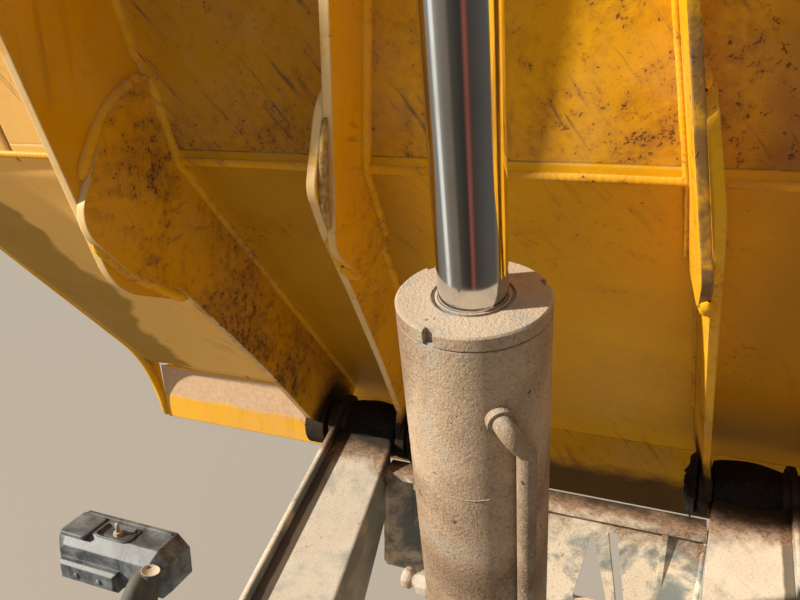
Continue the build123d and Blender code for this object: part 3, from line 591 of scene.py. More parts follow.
def dust_and_shade_on_lip(tree, vector, place, colour):
    """Dry dust on the first fold of the lip at the left, and dark brown low towards the middle, dirt and
    painted shade.
    """
    ragged = times(tree, noise(tree, stretch(tree, vector, (0.35, 1.0, 1.0)), 60.0, 6.0, 0.7), 0.05)
    height = plus(tree, place[2], ragged)
    drift = times(tree, noise(tree, vector, 9.0, 6.0, 0.7, 0.6), 0.5)
    left = ramp(tree, plus(tree, place[0], drift), -0.12, -0.30)
    upper = ramp(tree, height, 0.322, 0.340)
    grain = mix(tree, noise(tree, vector, 90.0, 5.0, 0.7), *LIP_DUST)
    colour = over(tree, colour, times(tree, left, upper), 0.85, grain)
    low = times(tree, ramp(tree, height, 0.362, 0.322), scaled(tree, left, -1.0, 1.0))
    return over(tree, colour, low, 0.9, LIP_DIRT_AND_SHADE)


def steel_inside(tree, vector, colour, rough, inward):
    """Faces that look into the skip: scraped steel, dried earth and what is left of the paint."""
    facing = vector_maths(tree, "DOT_PRODUCT", own_normal(tree), inward)["Value"]
    inside = ramp(tree, facing, 0.5, 0.8)
    scrape = noise(tree, stretch(tree, vector, (22.0, 2.0, 2.0)), 2.4, 8.0, 0.7)
    steel = mix(tree, scrape, *SCRAPED_STEEL)
    steel = mix(tree, patches(tree, vector, 0.42, 0.62, 5.0, 6.0, 0.65, 0.6), steel, DRIED_EARTH)
    steel = mix(tree, patches(tree, vector, 0.58, 0.64, 3.2, 7.0, 0.7, 0.8), steel, colour)
    return mix(tree, inside, colour, steel), maths(tree, "MAXIMUM", rough, times(tree, inside, 0.62))


def grease_and_shade_near_hinge(tree, vector, colour, rough, reach=0.085):
    """Black grease on whatever lies close to the hinge line, with a broken border, darkened further as
    painted shade of the hinge's hollow.
    """
    ragged = times(tree, noise(tree, vector, 22.0, 6.0, 0.7), 0.075)
    mask = ramp(tree, maths(tree, "SUBTRACT", from_hinge(tree, vector), ragged), reach, reach - 0.055)
    black = mix(tree, noise(tree, vector, 40.0, 5.0, 0.65), *SMEARED_GREASE_AND_SHADE)
    return mix(tree, mask, colour, black), mix_value(tree, mask, rough, 0.72)


# Colours of the frame and of what lies on it

FRAME_GREY = ((0.13, 0.15, 0.14), (0.33, 0.36, 0.33))
FRAME_WORN = (0.36, 0.40, 0.37)
FRAME_WASH = (0.22, 0.12, 0.065)
FRAME_SAND = ((0.56, 0.44, 0.30), (0.95, 0.80, 0.61))
FRAME_GRIT = (0.17, 0.12, 0.085)
FRAME_PITS = (0.10, 0.045, 0.022)
FRAME_RUST = (0.085, 0.045, 0.024)
FRAME_EDGE = (0.24, 0.15, 0.09)
# Painted shadow of the arm's outer plate
CHANNEL_SHADOW = (0.080, 0.056, 0.038)
TIP_RUST = ((0.30, 0.17, 0.09), (0.09, 0.042, 0.022))


def dusty_frame(name, dust=0.9, rust=0.45, cover=0.85, wear=0.004, dark=1.0, cling=0.8, channel_shadow=False):
    """Grey-blue frame paint under sand, with brown rust, pits, chipped edges, and grease by the hinge,
    darkened as painted shade.
    'cover' is how well the sand hides the paint; the channel flag paints the outer plate's shadow as a dark
    band along the arm."""
    material, tree, shader, vector = new_material(name)
    tone = noise(tree, vector, 5.0, 5.0, 0.6, 0.4)
    colour = mix(tree, tone, *(tinted(grey, dark) for grey in FRAME_GREY))
    specks = use(tree, "specks", Vector=vector, Amount=rust)
    colour = over(tree, colour, specks["Wash"], 0.6, FRAME_WASH)
    lying = use(tree, "dust", Vector=vector, Top=dust, Cling=dust * cling)["Mask"]
    sand = mix(tree, noise(tree, vector, 11.0, 8.0, 0.72, 0.3), *FRAME_SAND)
    colour = over(tree, colour, lying, cover, sand)
    worn = patches(tree, vector, 0.55, 0.66, 8.0, 7.0, 0.68, 0.9)
    colour = over(tree, colour, worn, 0.30, tinted(FRAME_WORN, dark))
    grit = patches(tree, vector, 0.52, 0.70, 420.0, 2.0, 0.6)
    colour = over(tree, colour, grit, 0.28, FRAME_GRIT)
    pits = patches(tree, vector, 0.66, 0.71, 150.0, 3.0, 0.6)
    cloud = patches(tree, vector, 0.48, 0.64, 6.5, 4.0, 0.6, 0.5)
    colour = over(tree, colour, times(tree, pits, cloud), 0.9, FRAME_PITS)
    colour = over(tree, colour, specks["Mask"], 0.5, FRAME_RUST)
    edge = use(tree, "edges", Vector=vector, Radius=wear)
    colour = over(tree, colour, edge["Mask"], 0.45, FRAME_EDGE)
    rough = plus(tree, times(tree, lying, 0.22), 0.66)
    # Painted shadow of the outer plate along its foot
    if channel_shadow:
        colour = shadow_in_channel(tree, vector, colour)
    colour = rust_at_arm_tip(tree, vector, colour)
    # Grease by the hinge, darkened as painted shade
    colour, rough = grease_and_shade_near_hinge(tree, vector, colour, rough, 0.080)
    height = plus(tree, times(tree, specks["Mask"], -0.5), times(tree, grit, 0.30))
    height = plus(tree, height, times(tree, noise(tree, vector, 45.0, 5.0, 0.7), 0.7))
    finish_surface(tree, shader, colour, rough, height, 0.55, 0.0018, edge["Normal"])
    shader.inputs["Specular IOR Level"].default_value = 0.3
    return material


def shadow_in_channel(tree, vector, colour):
    """Painted shadow of the arm's outer plate: a dark band on top of the arm, along the foot of the plate:
    |x| - splay * y past a line.
    """
    place = axes(tree, vector)
    out = maths(tree, "SUBTRACT", size_of(tree, place[0]), times(tree, place[1], 0.026))
    ragged = times(tree, noise(tree, vector, 30.0, 5.0, 0.65), 0.008)
    band = ramp(tree, plus(tree, out, ragged), 0.4010, 0.4060)
    return over(tree, colour, band, 0.85, CHANNEL_SHADOW)


def rust_at_arm_tip(tree, vector, colour):
    """Brown, pitted rust where the grease ends: a ragged ring round the hinge line."""
    ragged = times(tree, noise(tree, vector, 17.0, 6.0, 0.7, 0.4), 0.16)
    near = ramp(tree, maths(tree, "SUBTRACT", from_hinge(tree, vector), ragged), 0.070, 0.020)
    spots = mix(tree, patches(tree, vector, 0.45, 0.62, 170.0, 4.0, 0.7), *TIP_RUST)
    return over(tree, colour, near, 0.85, spots)


# Colours of the ram, the grease, the lamps and the mud

RAM_DUSTY = ((0.22, 0.146, 0.092), (0.48, 0.355, 0.235))
RAM_TOP_DUST = (0.54, 0.44, 0.325)
RAM_PAINT_GREY = (0.30, 0.32, 0.30)
RAM_STAIN = (0.16, 0.085, 0.05)
RAM_GRAIN_DARK = (0.11, 0.066, 0.043)
RAM_GRAIN_PALE = (0.70, 0.56, 0.42)
RAM_CHIP = (0.07, 0.035, 0.024)
CHROME = ((0.72, 0.72, 0.73), (0.60, 0.58, 0.55))
OILED_DARK = (0.02, 0.016, 0.012)
OILED_TINT = (2.2, 1.9, 1.5)
# Caked grease on the hinge, darkened as painted shade
CAKED_GREASE_AND_SHADE = ((0.006, 0.0045, 0.0035), (0.034, 0.022, 0.013))
PLASTIC_BLACK = ((0.026, 0.030, 0.034), (0.22, 0.235, 0.24))
PLASTIC_DUST = (0.30, 0.26, 0.21)
PLASTIC_SCUFF = (0.26, 0.27, 0.27)
PLASTIC_EDGE = (0.25, 0.25, 0.24)
LENS_CLEAR = ((0.62, 0.64, 0.64), (0.80, 0.82, 0.82))
# Mud that stands in for shade in a rib's recess and under the lip
MUD_SHADE = ((0.24, 0.140, 0.040), (0.48, 0.29, 0.085))


def dried_mud_shade(name):
    """Crumbly mud: the lumps give colour, roughness and height. It dresses pieces that stand in for shade.
    """
    material, tree, shader, vector = new_material(name)
    lumps = noise(tree, vector, 75.0, 6.0, 0.7)
    colour = mix(tree, ramp(tree, lumps, 0.38, 0.66), *MUD_SHADE)
    finish_surface(tree, shader, colour, scaled(tree, lumps, 0.2, 0.75), lumps, 0.8, 0.003)
    return material


def dusty_ram(name, tone=1.0):
    """Ram barrel: paint under dry sand, worn through to grey-blue, with brown stains and stuck grains."""
    material, tree, shader, vector = new_material(name)
    broad = noise(tree, vector, 4.5, 6.0, 0.6, 0.5)
    colour = mix(tree, ramp(tree, broad, 0.34, 0.66), *(tinted(dusty, tone) for dusty in RAM_DUSTY))
    level = ramp(tree, axes(tree, own_normal(tree))[2], 0.25, 0.8)
    lying = times(tree, level, 0.75)
    colour = mix(tree, lying, colour, tinted(RAM_TOP_DUST, tone))
    cool = patches(tree, vector, 0.53, 0.64, 9.0, 5.0, 0.6, 0.4)
    colour = over(tree, colour, cool, scaled(tree, level, 0.45, 0.30), RAM_PAINT_GREY)
    colour = over(tree, colour, use(tree, "runs", Vector=vector)["Mask"], 0.55, RAM_STAIN)
    grains = noise(tree, vector, 330.0, 2.0, 0.6)
    coarse = noise(tree, vector, 240.0, 4.0, 0.75)
    dark = times(tree, ramp(tree, coarse, 0.50, 0.62), ramp(tree, broad, 0.80, 0.36))
    dark = times(tree, dark, scaled(tree, lying, -1.2, 1.0))
    colour = mix(tree, times(tree, dark, 0.60, True), colour, RAM_GRAIN_DARK)
    colour = over(tree, colour, ramp(tree, grains, 0.58, 0.72), 0.35, RAM_GRAIN_PALE)
    colour = over(tree, colour, patches(tree, vector, 0.70, 0.73, 48.0, 3.0, 0.5), 0.8, RAM_CHIP)
    edge = use(tree, "edges", Vector=vector, Radius=0.002)
    height = plus(tree, times(tree, grains, 0.55), times(tree, coarse, 0.85))
    rough = plus(tree, times(tree, broad, 0.15), 0.80)
    finish_surface(tree, shader, colour, rough, height, 0.8, 0.0022, edge["Normal"])
    shader.inputs["Specular IOR Level"].default_value = 0.15
    return material


def hard_chrome(name):
    """Ground and chromed rod: mirror bright, with faint turned lines and a dust film in patches."""
    material, tree, shader, vector = new_material(name, 1.0)
    lines = noise(tree, stretch(tree, vector, (40.0, 40.0, 900.0)), 1.0, 2.0, 0.5)
    film = noise(tree, vector, 14.0, 6.0, 0.65)
    colour = mix(tree, ramp(tree, film, 0.45, 0.8), *CHROME)
    rough = plus(tree, times(tree, ramp(tree, film, 0.4, 0.75), 0.09), 0.085)
    finish_surface(tree, shader, colour, rough, lines, 0.03, 0.0002)
    return material


def greased_steel(name, light=0.10):
    """Oiled steel: bright patches of strength 'light' in a dark film."""
    material, tree, shader, vector = new_material(name, 0.85)
    patch = noise(tree, vector, 24.0, 6.0, 0.7, 0.5)
    colour = mix(tree, ramp(tree, patch, 0.35, 0.7), OILED_DARK, tinted(OILED_TINT, light))
    rough = plus(tree, times(tree, patch, 0.35), 0.28)
    finish_surface(tree, shader, colour, rough, noise(tree, vector, 160.0, 4.0, 0.6), 0.3, 0.0006)
    return material


def black_grease_and_shade(name):
    """Old grease full of grit, darkened as painted shade of the hinge."""
    material, tree, shader, vector = new_material(name)
    grit = noise(tree, vector, 170.0, 4.0, 0.7)
    colour = mix(tree, ramp(tree, grit, 0.45, 0.75), *CAKED_GREASE_AND_SHADE)
    finish_surface(tree, shader, colour, plus(tree, times(tree, grit, 0.4), 0.52), grit, 0.9, 0.004)
    shader.inputs["Specular IOR Level"].default_value = 0.22
    return material


def worn_plastic(name):
    """Black lamp plastic gone grey: fine grain, pale scuffs on edges, dust on top."""
    material, tree, shader, vector = new_material(name)
    cloud = noise(tree, vector, 18.0, 7.0, 0.7, 0.6)
    colour = mix(tree, ramp(tree, cloud, 0.35, 0.75), *PLASTIC_BLACK)
    lying = use(tree, "dust", Vector=vector, Top=0.45, Cling=0.15)["Mask"]
    share = scaled(tree, patches(tree, vector, 0.44, 0.54, 7.0, 2.0, 0.5), 0.35, 0.05)
    colour = over(tree, colour, lying, share, PLASTIC_DUST)
    scuffs = patches(tree, stretch(tree, vector, (30.0, 160.0, 160.0)), 0.64, 0.72, 1.0, 4.0, 0.7)
    colour = over(tree, colour, scuffs, 0.40, PLASTIC_SCUFF)
    edge = use(tree, "edges", Vector=vector, Radius=0.003)
    colour = over(tree, colour, edge["Mask"], 0.5, PLASTIC_EDGE)
    rough = plus(tree, times(tree, cloud, 0.30), 0.34)
    grain = noise(tree, vector, 320.0, 3.0, 0.6)
    finish_surface(tree, shader, colour, rough, grain, 0.35, 0.0006, edge["Normal"])
    return material


def clear_lens(name):
    """Fluted clear plastic with a little haze."""
    material, tree, shader, vector = new_material(name)
    flutes = node(tree, "ShaderNodeTexWave", {"bands_direction": "X"}, Vector=vector, Scale=24.0)
    colour = mix(tree, noise(tree, vector, 12.0, 5.0, 0.6), *LENS_CLEAR)
    rough = plus(tree, times(tree, noise(tree, vector, 30.0, 5.0, 0.6), 0.18), 0.06)
    finish_surface(tree, shader, colour, rough, flutes.outputs["Fac"], 0.4, 0.0012)
    shader.inputs["Transmission Weight"].default_value = 0.6
    return material


def inward_normal(along, above):
    """Direction into the skip of a panel given in the lowered drawing, turned to the raised pose."""
    c, s = math.cos(RAISED), math.sin(RAISED)
    return (0.0, along * c + above * s, -along * s + above * c)


FLOOR_IN = inward_normal(0, 1)
SLOPE_IN = inward_normal(-math.sin(SLOPE), math.cos(SLOPE))
BACK_IN = inward_normal(math.cos(BACK_LEAN), math.sin(BACK_LEAN))

# Finishes: rust, wash, dust and runs of a yellow panel come first, and then what is special to it
WALL = dict(rust=0.50, wash=0.50, dust=0.5, runs=0.6, dents=4.0, pale=0.70, outboard=0.40, scrape=0.7,
            far_rust=1.0)
INNER = dict(wash=0.50, dust=0.25, runs=0.3, grease=True)
MATERIALS = {
    # The bottom and the slope: painted shade in the bays between the ribs, and brown to the rear and right,
    # partly stain and partly painted shade
    "bottom": weathered_yellow("yellow_bottom", rust=0.56, wash=0.85, dust=0.3, runs=0.4, pale=0.40,
                               scrape=1.0, outboard=0.75, stain=0.85, inward=FLOOR_IN, bay_shade=0.50,
                               shift=(0.15, 0.0, 0.4)),
    "slope": weathered_yellow("yellow_slope", rust=0.38, wash=0.16, dust=0.05, runs=0.15, pale=0.62,
                              scrape=0.2, dents=1.5, outboard=0.7, stain=0.25, inward=SLOPE_IN, bay_shade=0.55),
    "strip": weathered_yellow("yellow_corner", rust=0.30, wash=0.20, dust=0.5, runs=0.1, pale=0.85,
                              scrape=0.2, dents=6.0, outboard=0.7, inward=FLOOR_IN),
    # Painted shade past the fold of the outer plating
    "skin": weathered_yellow("yellow_dented", rust=0.36, wash=0.20, dust=0.3, runs=0.1, pale=0.85,
                             scrape=0.2, dents=2.0, outboard=0.7, fold_shade=0.8),
    "back": weathered_yellow("yellow_back", rust=0.50, wash=0.60, dust=0.5, runs=0.6, pale=0.55, scrape=0.6,
                             dents=4.0, outboard=0.3, inward=BACK_IN, far_rust=1.0),
    "wall_left": weathered_yellow("yellow_wall_left", inward=(1.0, 0, 0), **WALL),
    "wall_right": weathered_yellow("yellow_wall_right", inward=(-1.0, 0, 0), **WALL),
    # Ribs: the free edges are cream as painted sunlight, or dark as dirt and painted shade
    "rib_outer": weathered_yellow("yellow_outer_rib", rust=0.62, wash=0.85, dust=0.25, runs=0.5, pale=0.35,
                                  scrape=0.5, grease=True, free_edge=EDGE_CREAM_SUNLIT, shift=(1.7, 0.6, 1.1)),
    "rib_left": weathered_yellow("yellow_left_rib", rust=0.50, pale=0.5, free_edge=EDGE_CREAM_SUNLIT, **INNER),
    "rib_plain": weathered_yellow("yellow_plain_rib", rust=0.48, pale=0.5, **INNER),
    "rib_right": weathered_yellow("yellow_right_rib", rust=0.50, pale=0.45, free_edge=EDGE_DIRT_AND_SHADE, **INNER),
    "rim": weathered_yellow("yellow_rim", rust=0.50, wash=0.45, dust=0.5, runs=0.4, pale=0.5, far_rust=0.8),
    # The lip: dust, and dirt with painted shade low on it
    "lip": weathered_yellow("yellow_lip", rust=0.40, wash=0.35, dust=0.5, runs=0.2, pale=0.5, outboard=0.2,
                            lip_dust_and_shade=True),
    "bead": weathered_yellow("yellow_weld", rust=0.48, wash=0.55, dust=0.35, runs=0.2, pale=0.5,
                             wear=0.001),
    # Mud that stands in for shade
    "mud": dried_mud_shade("mud_dark_shade"),
    "frame": dusty_frame("frame_dusty", dust=1.0, rust=0.42, wear=0.010),
    # Arms: painted shadow along the foot of the outer plate
    "frame_left": dusty_frame("frame_left_dusty", dust=0.85, rust=0.48, cover=0.68, wear=0.010,
                              channel_shadow=True),
    "frame_right": dusty_frame("frame_right_dusty", dust=1.0, rust=0.42, cover=0.90, wear=0.003,
                               channel_shadow=True),
    "cross": dusty_frame("cross_member_dusty", dust=1.2, rust=0.5, cover=0.95, wear=0.0012, cling=1.7),
    "table": dusty_frame("table_dusty", dust=0.7, rust=0.55),
    # The stalk's paint darkened to a fifth: painted shade of its shadowed side
    "stalk": dusty_frame("stalk_dusty", dust=0.15, rust=0.4, cover=0.5, dark=0.20),
    "cut": dusty_frame("stalk_cut", dust=1.0, rust=0.2, cover=0.9),
    "ram": dusty_ram("ram_dusty"),
    "pipe": dusty_ram("pipe_dusty", tone=0.70),
    "chrome": hard_chrome("rod_chrome"),
    "pin": greased_steel("pin_greased"),
    "ring": greased_steel("ring_oiled", light=0.14),
    # Grease on the hinge, darkened as painted shade
    "grease": black_grease_and_shade("hinge_grease_and_shade"),
    "plastic": worn_plastic("lamp_plastic"),
    "lens": clear_lens("lamp_lens"),
}

# The solids' finishes, by the start of their names: the first that fits counts
NODE_FINISH = (
    ("skip_bottom", "bottom"), ("skip_front_floor", "slope"), ("skip_corner", "strip"),
    ("skip_back", "back"), ("skip_wall_left", "wall_left"), ("skip_wall_right", "wall_right"),
    ("skip_rim", "rim"), ("skip_lip", "lip"), ("rib_left_outer", "rib_outer"),
    ("rib_right_outer", "rib_outer"), ("rib_left_inner", "rib_left"),
    ("rib_right_inner_lower", "rib_plain"), ("rib_right_inner", "rib_right"),
    ("ram_head_bracket", "rib_left"), ("ram_rod_eye", "ram"), ("ram_rod", "chrome"),
    ("ram_head_pin", "pin"), ("ram_foot_pin", "pin"), ("ram_foot_clevis", "table"),
    ("ram_oil_pipe", "pipe"), ("ram_", "ram"), ("hinge_pin", "pin"), ("slew_ring", "ring"),
    ("turntable", "table"), ("arm_hinge_eye", "frame"), ("arm_box_left", "frame_left"),
    ("arm_box_right", "frame_right"), ("arm_", "frame"), ("cross_member", "cross"),
    ("lamp_stalk", "stalk"), ("lamp_housing", "plastic"), ("lamp_lens", "lens"),
)


def dress_nodes():
    """Give every solid its finish."""
    for name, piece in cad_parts.items():
        finish = next(key for start, key in NODE_FINISH if name.startswith(start))
        piece.data.materials.clear()
        piece.data.materials.append(MATERIALS[finish])


# Pieces that the solids leave to this scene

# Stations of the ribs' beads, (forward, up) from the bend of the lowered skip
PANEL_REAR = (-0.575, 0)
UPPER_ROOT = [PANEL_REAR, (0, 0), slope_point(0.150)]
LOWER_ROOT = [(-0.120, 0), (0, 0), slope_point(0.805)]
REAR_ROOT = [PANEL_REAR, (-0.140, 0)]
FRONT_ROOT = [slope_point(0.170), slope_point(0.805)]
LAP = {"inner": rounded([(-0.136, 0.0), (-0.133, -0.035), (-0.126, -0.062)]),
       "outer": rounded([(-0.124, 0.0), (-0.115, -0.070), (-0.085, -0.125), (-0.050, -0.164)])}
LAP_FRONT = {"inner": rounded([(0.062, -0.064), (0.080, -0.060), (0.096, -0.052)]),
             "outer": rounded([(0.026, -0.185), (0.085, -0.160), (0.140, -0.115), (0.196, -0.068)])}
NOSE = {"inner": rounded([(0.128, -0.040), (0.170, -0.006), (0.160, 0.034), (0.150, 0.064)]),
        "outer": rounded([(0.196, -0.064), (0.186, -0.010), (0.150, 0.064)])}
POCKET = rounded([(-0.098, -0.074), (-0.050, -0.083), (0.005, -0.085), (0.050, -0.074)])

# Beads: at the roots of the plates, round their laps, the thin ones of the right inner rib, and their inset
ROOT_BEAD = 0.0080
LAP_BEAD = 0.0090
THIN_BEAD = 0.0048
BEAD_INSET = 0.0015


def add_rib_welds():
    """Beads at the roots of all rib plates, and round the lap of each pair.
    Each row: word, offset from the rib's near face, stations, and which way the bead is inset."""
    t = RIB_PLATE
    near_upper = (("near_rear", 0, UPPER_ROOT, 1), ("near_front", t, FRONT_ROOT, 1),
                  ("far_front", 2 * t, LOWER_ROOT, -1), ("far_rear", t, REAR_ROOT, -1))
    near_lower = (("near_front", 0, LOWER_ROOT, 1), ("near_rear", t, REAR_ROOT, 1),
                  ("far_rear", 2 * t, UPPER_ROOT, -1), ("far_front", t, FRONT_ROOT, -1))
    for kind, rib, roots, lap_face in (("inner", INNER_RIB, near_upper, -1),
                                       ("outer", OUTER_RIB, near_lower, 1)):
        laps = (("lap", t, LAP[kind], lap_face), ("lap_front", t, LAP_FRONT[kind], lap_face),
                ("nose", t, NOSE[kind], -lap_face))
        for word, offset, stations, face in roots + laps:
            path = rib_path(rib, offset, stations) + np.array([-BEAD_INSET * face, 0, 0])
            for side, hand in SIDES:
                size = LAP_BEAD if word in ("lap", "lap_front", "nose") else ROOT_BEAD
                if hand == "right" and kind == "inner" and word.startswith("near"):
                    size = THIN_BEAD
                weld(f"weld_{hand}_{kind}_{word}", mirrored(path, side), SKIP_PAINT, "bead", size,
                     up=(1.0, 0.02, 0.03), seed=len(word) + side)


def add_panel_welds():
    """Seam over the bend, and the lip's seam."""
    for name, ahead, above, half, size in (("bend", 0.0, 0.0015, 1.10, 0.0065),
                                           ("lip", *slope_point(SLOPE_LENGTH, -0.0015), 1.07, 0.0045)):
        path = raised(np.array([-half, half]), ahead, above)
        weld(f"weld_{name}_seam", path, SKIP_PAINT, "bead", size, up=(0.0, 0.5, 0.8), seed=3)


# Rolled edge: half spacing and height over the panels, radius, how much and how far it thins at the lip,
# the spacing of the curve's middle and its last point, and the spacing of the cheek's other border
EDGE_X = 1.1175
EDGE_HIGH = 0.0035
EDGE_R = 0.0115
EDGE_THINNED = 0.004
EDGE_TAPER = 0.12
EDGE_MIDDLE_X = 1.112
EDGE_LAST = (1.098, 0.8440, 0.240)
CHEEK_X = (EDGE_X, 1.094, 1.086)


def add_rolled_edges():
    """Round bar rolled into the outer edge of both corner strips; at the lip it cuts the corner in a curve.
    The curve is a quadratic Bezier over the seam; a cheek plate fills the corner between it and the lip."""
    corner = raised(0.0, *slope_point(SLOPE_LENGTH - 0.004, -EDGE_HIGH))
    t = np.linspace(0, 1, 40)[:, None]
    stations = np.array(rounded([(-0.600, EDGE_HIGH), (-0.060, EDGE_HIGH), slope_point(0.060, -EDGE_HIGH),
                                 slope_point(SLOPE_LENGTH - 0.150, -EDGE_HIGH)], 4))
    for side, hand in SIDES:
        straight = raised(side * EDGE_X, stations[:, 0], stations[:, 1])
        first = straight[-1]
        last = np.array([side * EDGE_LAST[0], EDGE_LAST[1], EDGE_LAST[2]])
        middle = np.array([side * EDGE_MIDDLE_X, corner[1], corner[2]])
        curve = (1 - t) ** 2 * first + 2 * t * (1 - t) * middle + t ** 2 * last
        path, s = dense(np.concatenate([straight, curve[1:]]), 0.012)
        radius = EDGE_R - EDGE_THINNED * np.clip((s - s[-1] + EDGE_TAPER) / EDGE_TAPER, 0, 1)
        radius[-1] = 0.0008
        bar = tube(path, radius, 20, (1.0, 0.0, 0.0))
        surface(f"rolled_edge_{hand}", bar, SKIP_PAINT, "rim", close_v=True)
        to_middle = first + (middle - first) * 2 * t
        from_middle = middle + (last - middle) * (2 * t - 1)
        two_legs = np.where(t < 0.5, to_middle, from_middle)
        two_legs[:, 0] = side * np.interp(t[:, 0], (0, 0.5, 1), CHEEK_X)
        across = np.linspace(0, 1, 8)[None, :, None]
        plate = curve[:, None] * (1 - across) + two_legs[:, None] * across
        surface(f"lip_cheek_{hand}", plate, SKIP_PAINT, "rim")


# Dented plating: borders along the slope and across, rise on both sides of the fold, lift off the panel,
# least height, depth of the buried border, round of the fold, widths of the fade at ends and sides, dents
SKIN_ALONG = (0.014, 0.866)
SKIN_ACROSS = (0.522, 1.106)
SKIN_RISE = (0.030, 0.080)
SKIN_LIFT = 0.0010
SKIN_LEAST = 0.0008
SKIN_BURIED = 0.0012
SKIN_FOLD_ROUND = 0.0012
SKIN_FADE = (0.030, 0.012)
DENTS = 16
DENT_DEPTH = 0.0070


def add_dented_skin():
    """Dented outer plating of the slope beyond the outer ribs.
    Height over the panel is a valley along the fold, |x - fold| * rise, plus gaussian dents, and runs out
    to nothing at the borders."""
    rng = np.random.default_rng(8)
    along = np.linspace(*SKIN_ALONG, 110)[:, None]
    x = np.linspace(*SKIN_ACROSS, 84)[None, :]
    for side, hand in SIDES:
        valley = np.where(x < FLOOR_HALF, (FLOOR_HALF - x) * SKIN_RISE[0], (x - FLOOR_HALF) * SKIN_RISE[1])
        high = SKIN_LIFT + np.sqrt(valley ** 2 + SKIN_FOLD_ROUND ** 2) + 0 * along
        for _ in range(DENTS):
            a, b = rng.uniform(0.05, 0.85), rng.uniform(0.60, 1.06)
            long, wide = rng.uniform(0.05, 0.12), rng.uniform(0.03, 0.08)
            deep = rng.uniform(-DENT_DEPTH, DENT_DEPTH)
            high = high + deep * np.exp(-((along - a) / long) ** 2 - ((x - b) / wide) ** 2)
        from_ends = np.minimum(along - SKIN_ALONG[0], SKIN_ALONG[1] - along) / SKIN_FADE[0]
        from_sides = np.minimum(x - SKIN_ACROSS[0], SKIN_ACROSS[1] - x) / SKIN_FADE[1]
        fade = np.clip(np.minimum(from_ends, from_sides), 0, 1) ** 0.7
        high = np.sqrt(np.clip(high, 0.0, None) ** 2 + SKIN_LEAST ** 2) * fade - SKIN_BURIED * (1 - fade)
        ahead, above = on_slope(along + 0 * x, high)
        surface(f"dented_skin_{hand}", raised(side * x + 0 * along, ahead, above), SKIP_PAINT, "skin")


# Ring at the barrel's foot and scratch, and the port: nut and hose end, (radius, height, hexagon or round)
FOOT_RING_ALONG = 0.0775
FOOT_RING_BEAD = 0.0045
SCRATCH_ALONG = 0.560
SCRATCH_RISE = 0.010
SCRATCH_TURN = (-46, 22)
SCRATCH_R = 0.0007
PORT_ALONG = 0.262
PORT_TURN = math.radians(-96)
PORT_ROWS = ((SHUT, 0, 0), (0.019, 0, 0), (0.019, 0.009, 0), (0.0165, 0.010, 1), (0.0165, 0.024, 1),
             (0.012, 0.027, 1), (0.011, 0.034, 0), (0.0145, 0.035, 1), (0.0145, 0.047, 1),
             (0.011, 0.049, 0), (SHUT, 0.0495, 0))


def add_ram_details():
    """Weld ring at the barrel's foot, the port fitting with its hose stub, and a scratch."""
    turns = np.linspace(0, 2 * math.pi, 160)
    path = on_ram(np.full_like(turns, FOOT_RING_ALONG), np.full_like(turns, BARREL_R + 0.0004), turns)
    weld("ram_weld_base", path, RAM_PAINT, "ram", FOOT_RING_BEAD, up=RAM_AXIS, seed=5)
    arc = np.radians(np.linspace(*SCRATCH_TURN, 60))
    along = SCRATCH_ALONG - SCRATCH_RISE * np.cos(arc * 1.8)
    path = on_ram(along, np.full_like(arc, BARREL_R + 0.0002), arc)
    surface("ram_scratch_line", tube(path, SCRATCH_R, 6, RAM_AXIS), RAM_PAINT, "ram", close_v=True)
    axis = on_ram(PORT_ALONG, 1.0, PORT_TURN) - on_ram(PORT_ALONG, 0.0, 0.0)
    centre = on_ram(PORT_ALONG, BARREL_R - 0.002, PORT_TURN)
    surface("ram_port_fitting", turned(centre, axis, PORT_ROWS, 48), RAM_PAINT, "ram", close_v=True)


def round_hinge(x, radius, turn):
    """Point round the hinge line."""
    return np.stack([x, HINGE[0] + radius * np.cos(turn), HINGE[1] + radius * np.sin(turn)], axis=-1)


def lumpy_collar(name, side, x_from, x_to, radius, place, seed):
    """Ring of grease round the hinge line: radius swells by a sum of sines in turn and width."""
    rng = np.random.default_rng(seed)
    turn = np.linspace(0, 2 * math.pi, 72, endpoint=False)[:, None]
    width = np.linspace(0, 1, 9)[None, :]
    phase = rng.uniform(0, 6.28, 6)
    swell = sum(np.sin((k + 2) * turn + phase[k] + 2.0 * width * k) / (k + 2) for k in range(6))
    shut = np.sin(math.pi * np.clip(width, 0.02, 0.98)) ** 0.4
    r = radius - GREASE_THICK + (GREASE_THICK + GREASE_LUMP * swell) * shut
    x = side * (x_from + (x_to - x_from) * width) + 0 * turn
    surface(name, round_hinge(x, r, turn), place, "grease", close_u=True)


def grease_cake(name, side, x, thick, radius, place, seed):
    """Cake of grease on a flat boss, over a disc whose radius R varies with the turn.
    height = thick * (1 - (r / R)^4) * lumps"""
    rng = np.random.default_rng(seed)
    turn = np.linspace(0, 2 * math.pi, 90, endpoint=False)[:, None]
    part = np.linspace(0.0, 1.0, 26)[None, :]
    phase = rng.uniform(0, 6.28, (9, 2))
    edge = radius * (1 + sum(0.075 / (k + 1) * np.sin((k + 2) * turn + phase[k, 0]) for k in range(9)))
    lumps = 1
    for k in range(5):
        waves = np.sin(9 * part * (1 + 0.3 * k) + phase[k, 1])
        lumps = lumps + 0.20 * np.sin((k + 1) * turn + phase[k, 0]) * waves
    r = edge * np.clip(part, 0.004, 1) ** 0.8
    tall = thick * (1 - part ** 4) * lumps
    surface(name, round_hinge(side * (x - tall), r, turn), place, "grease", close_u=True)


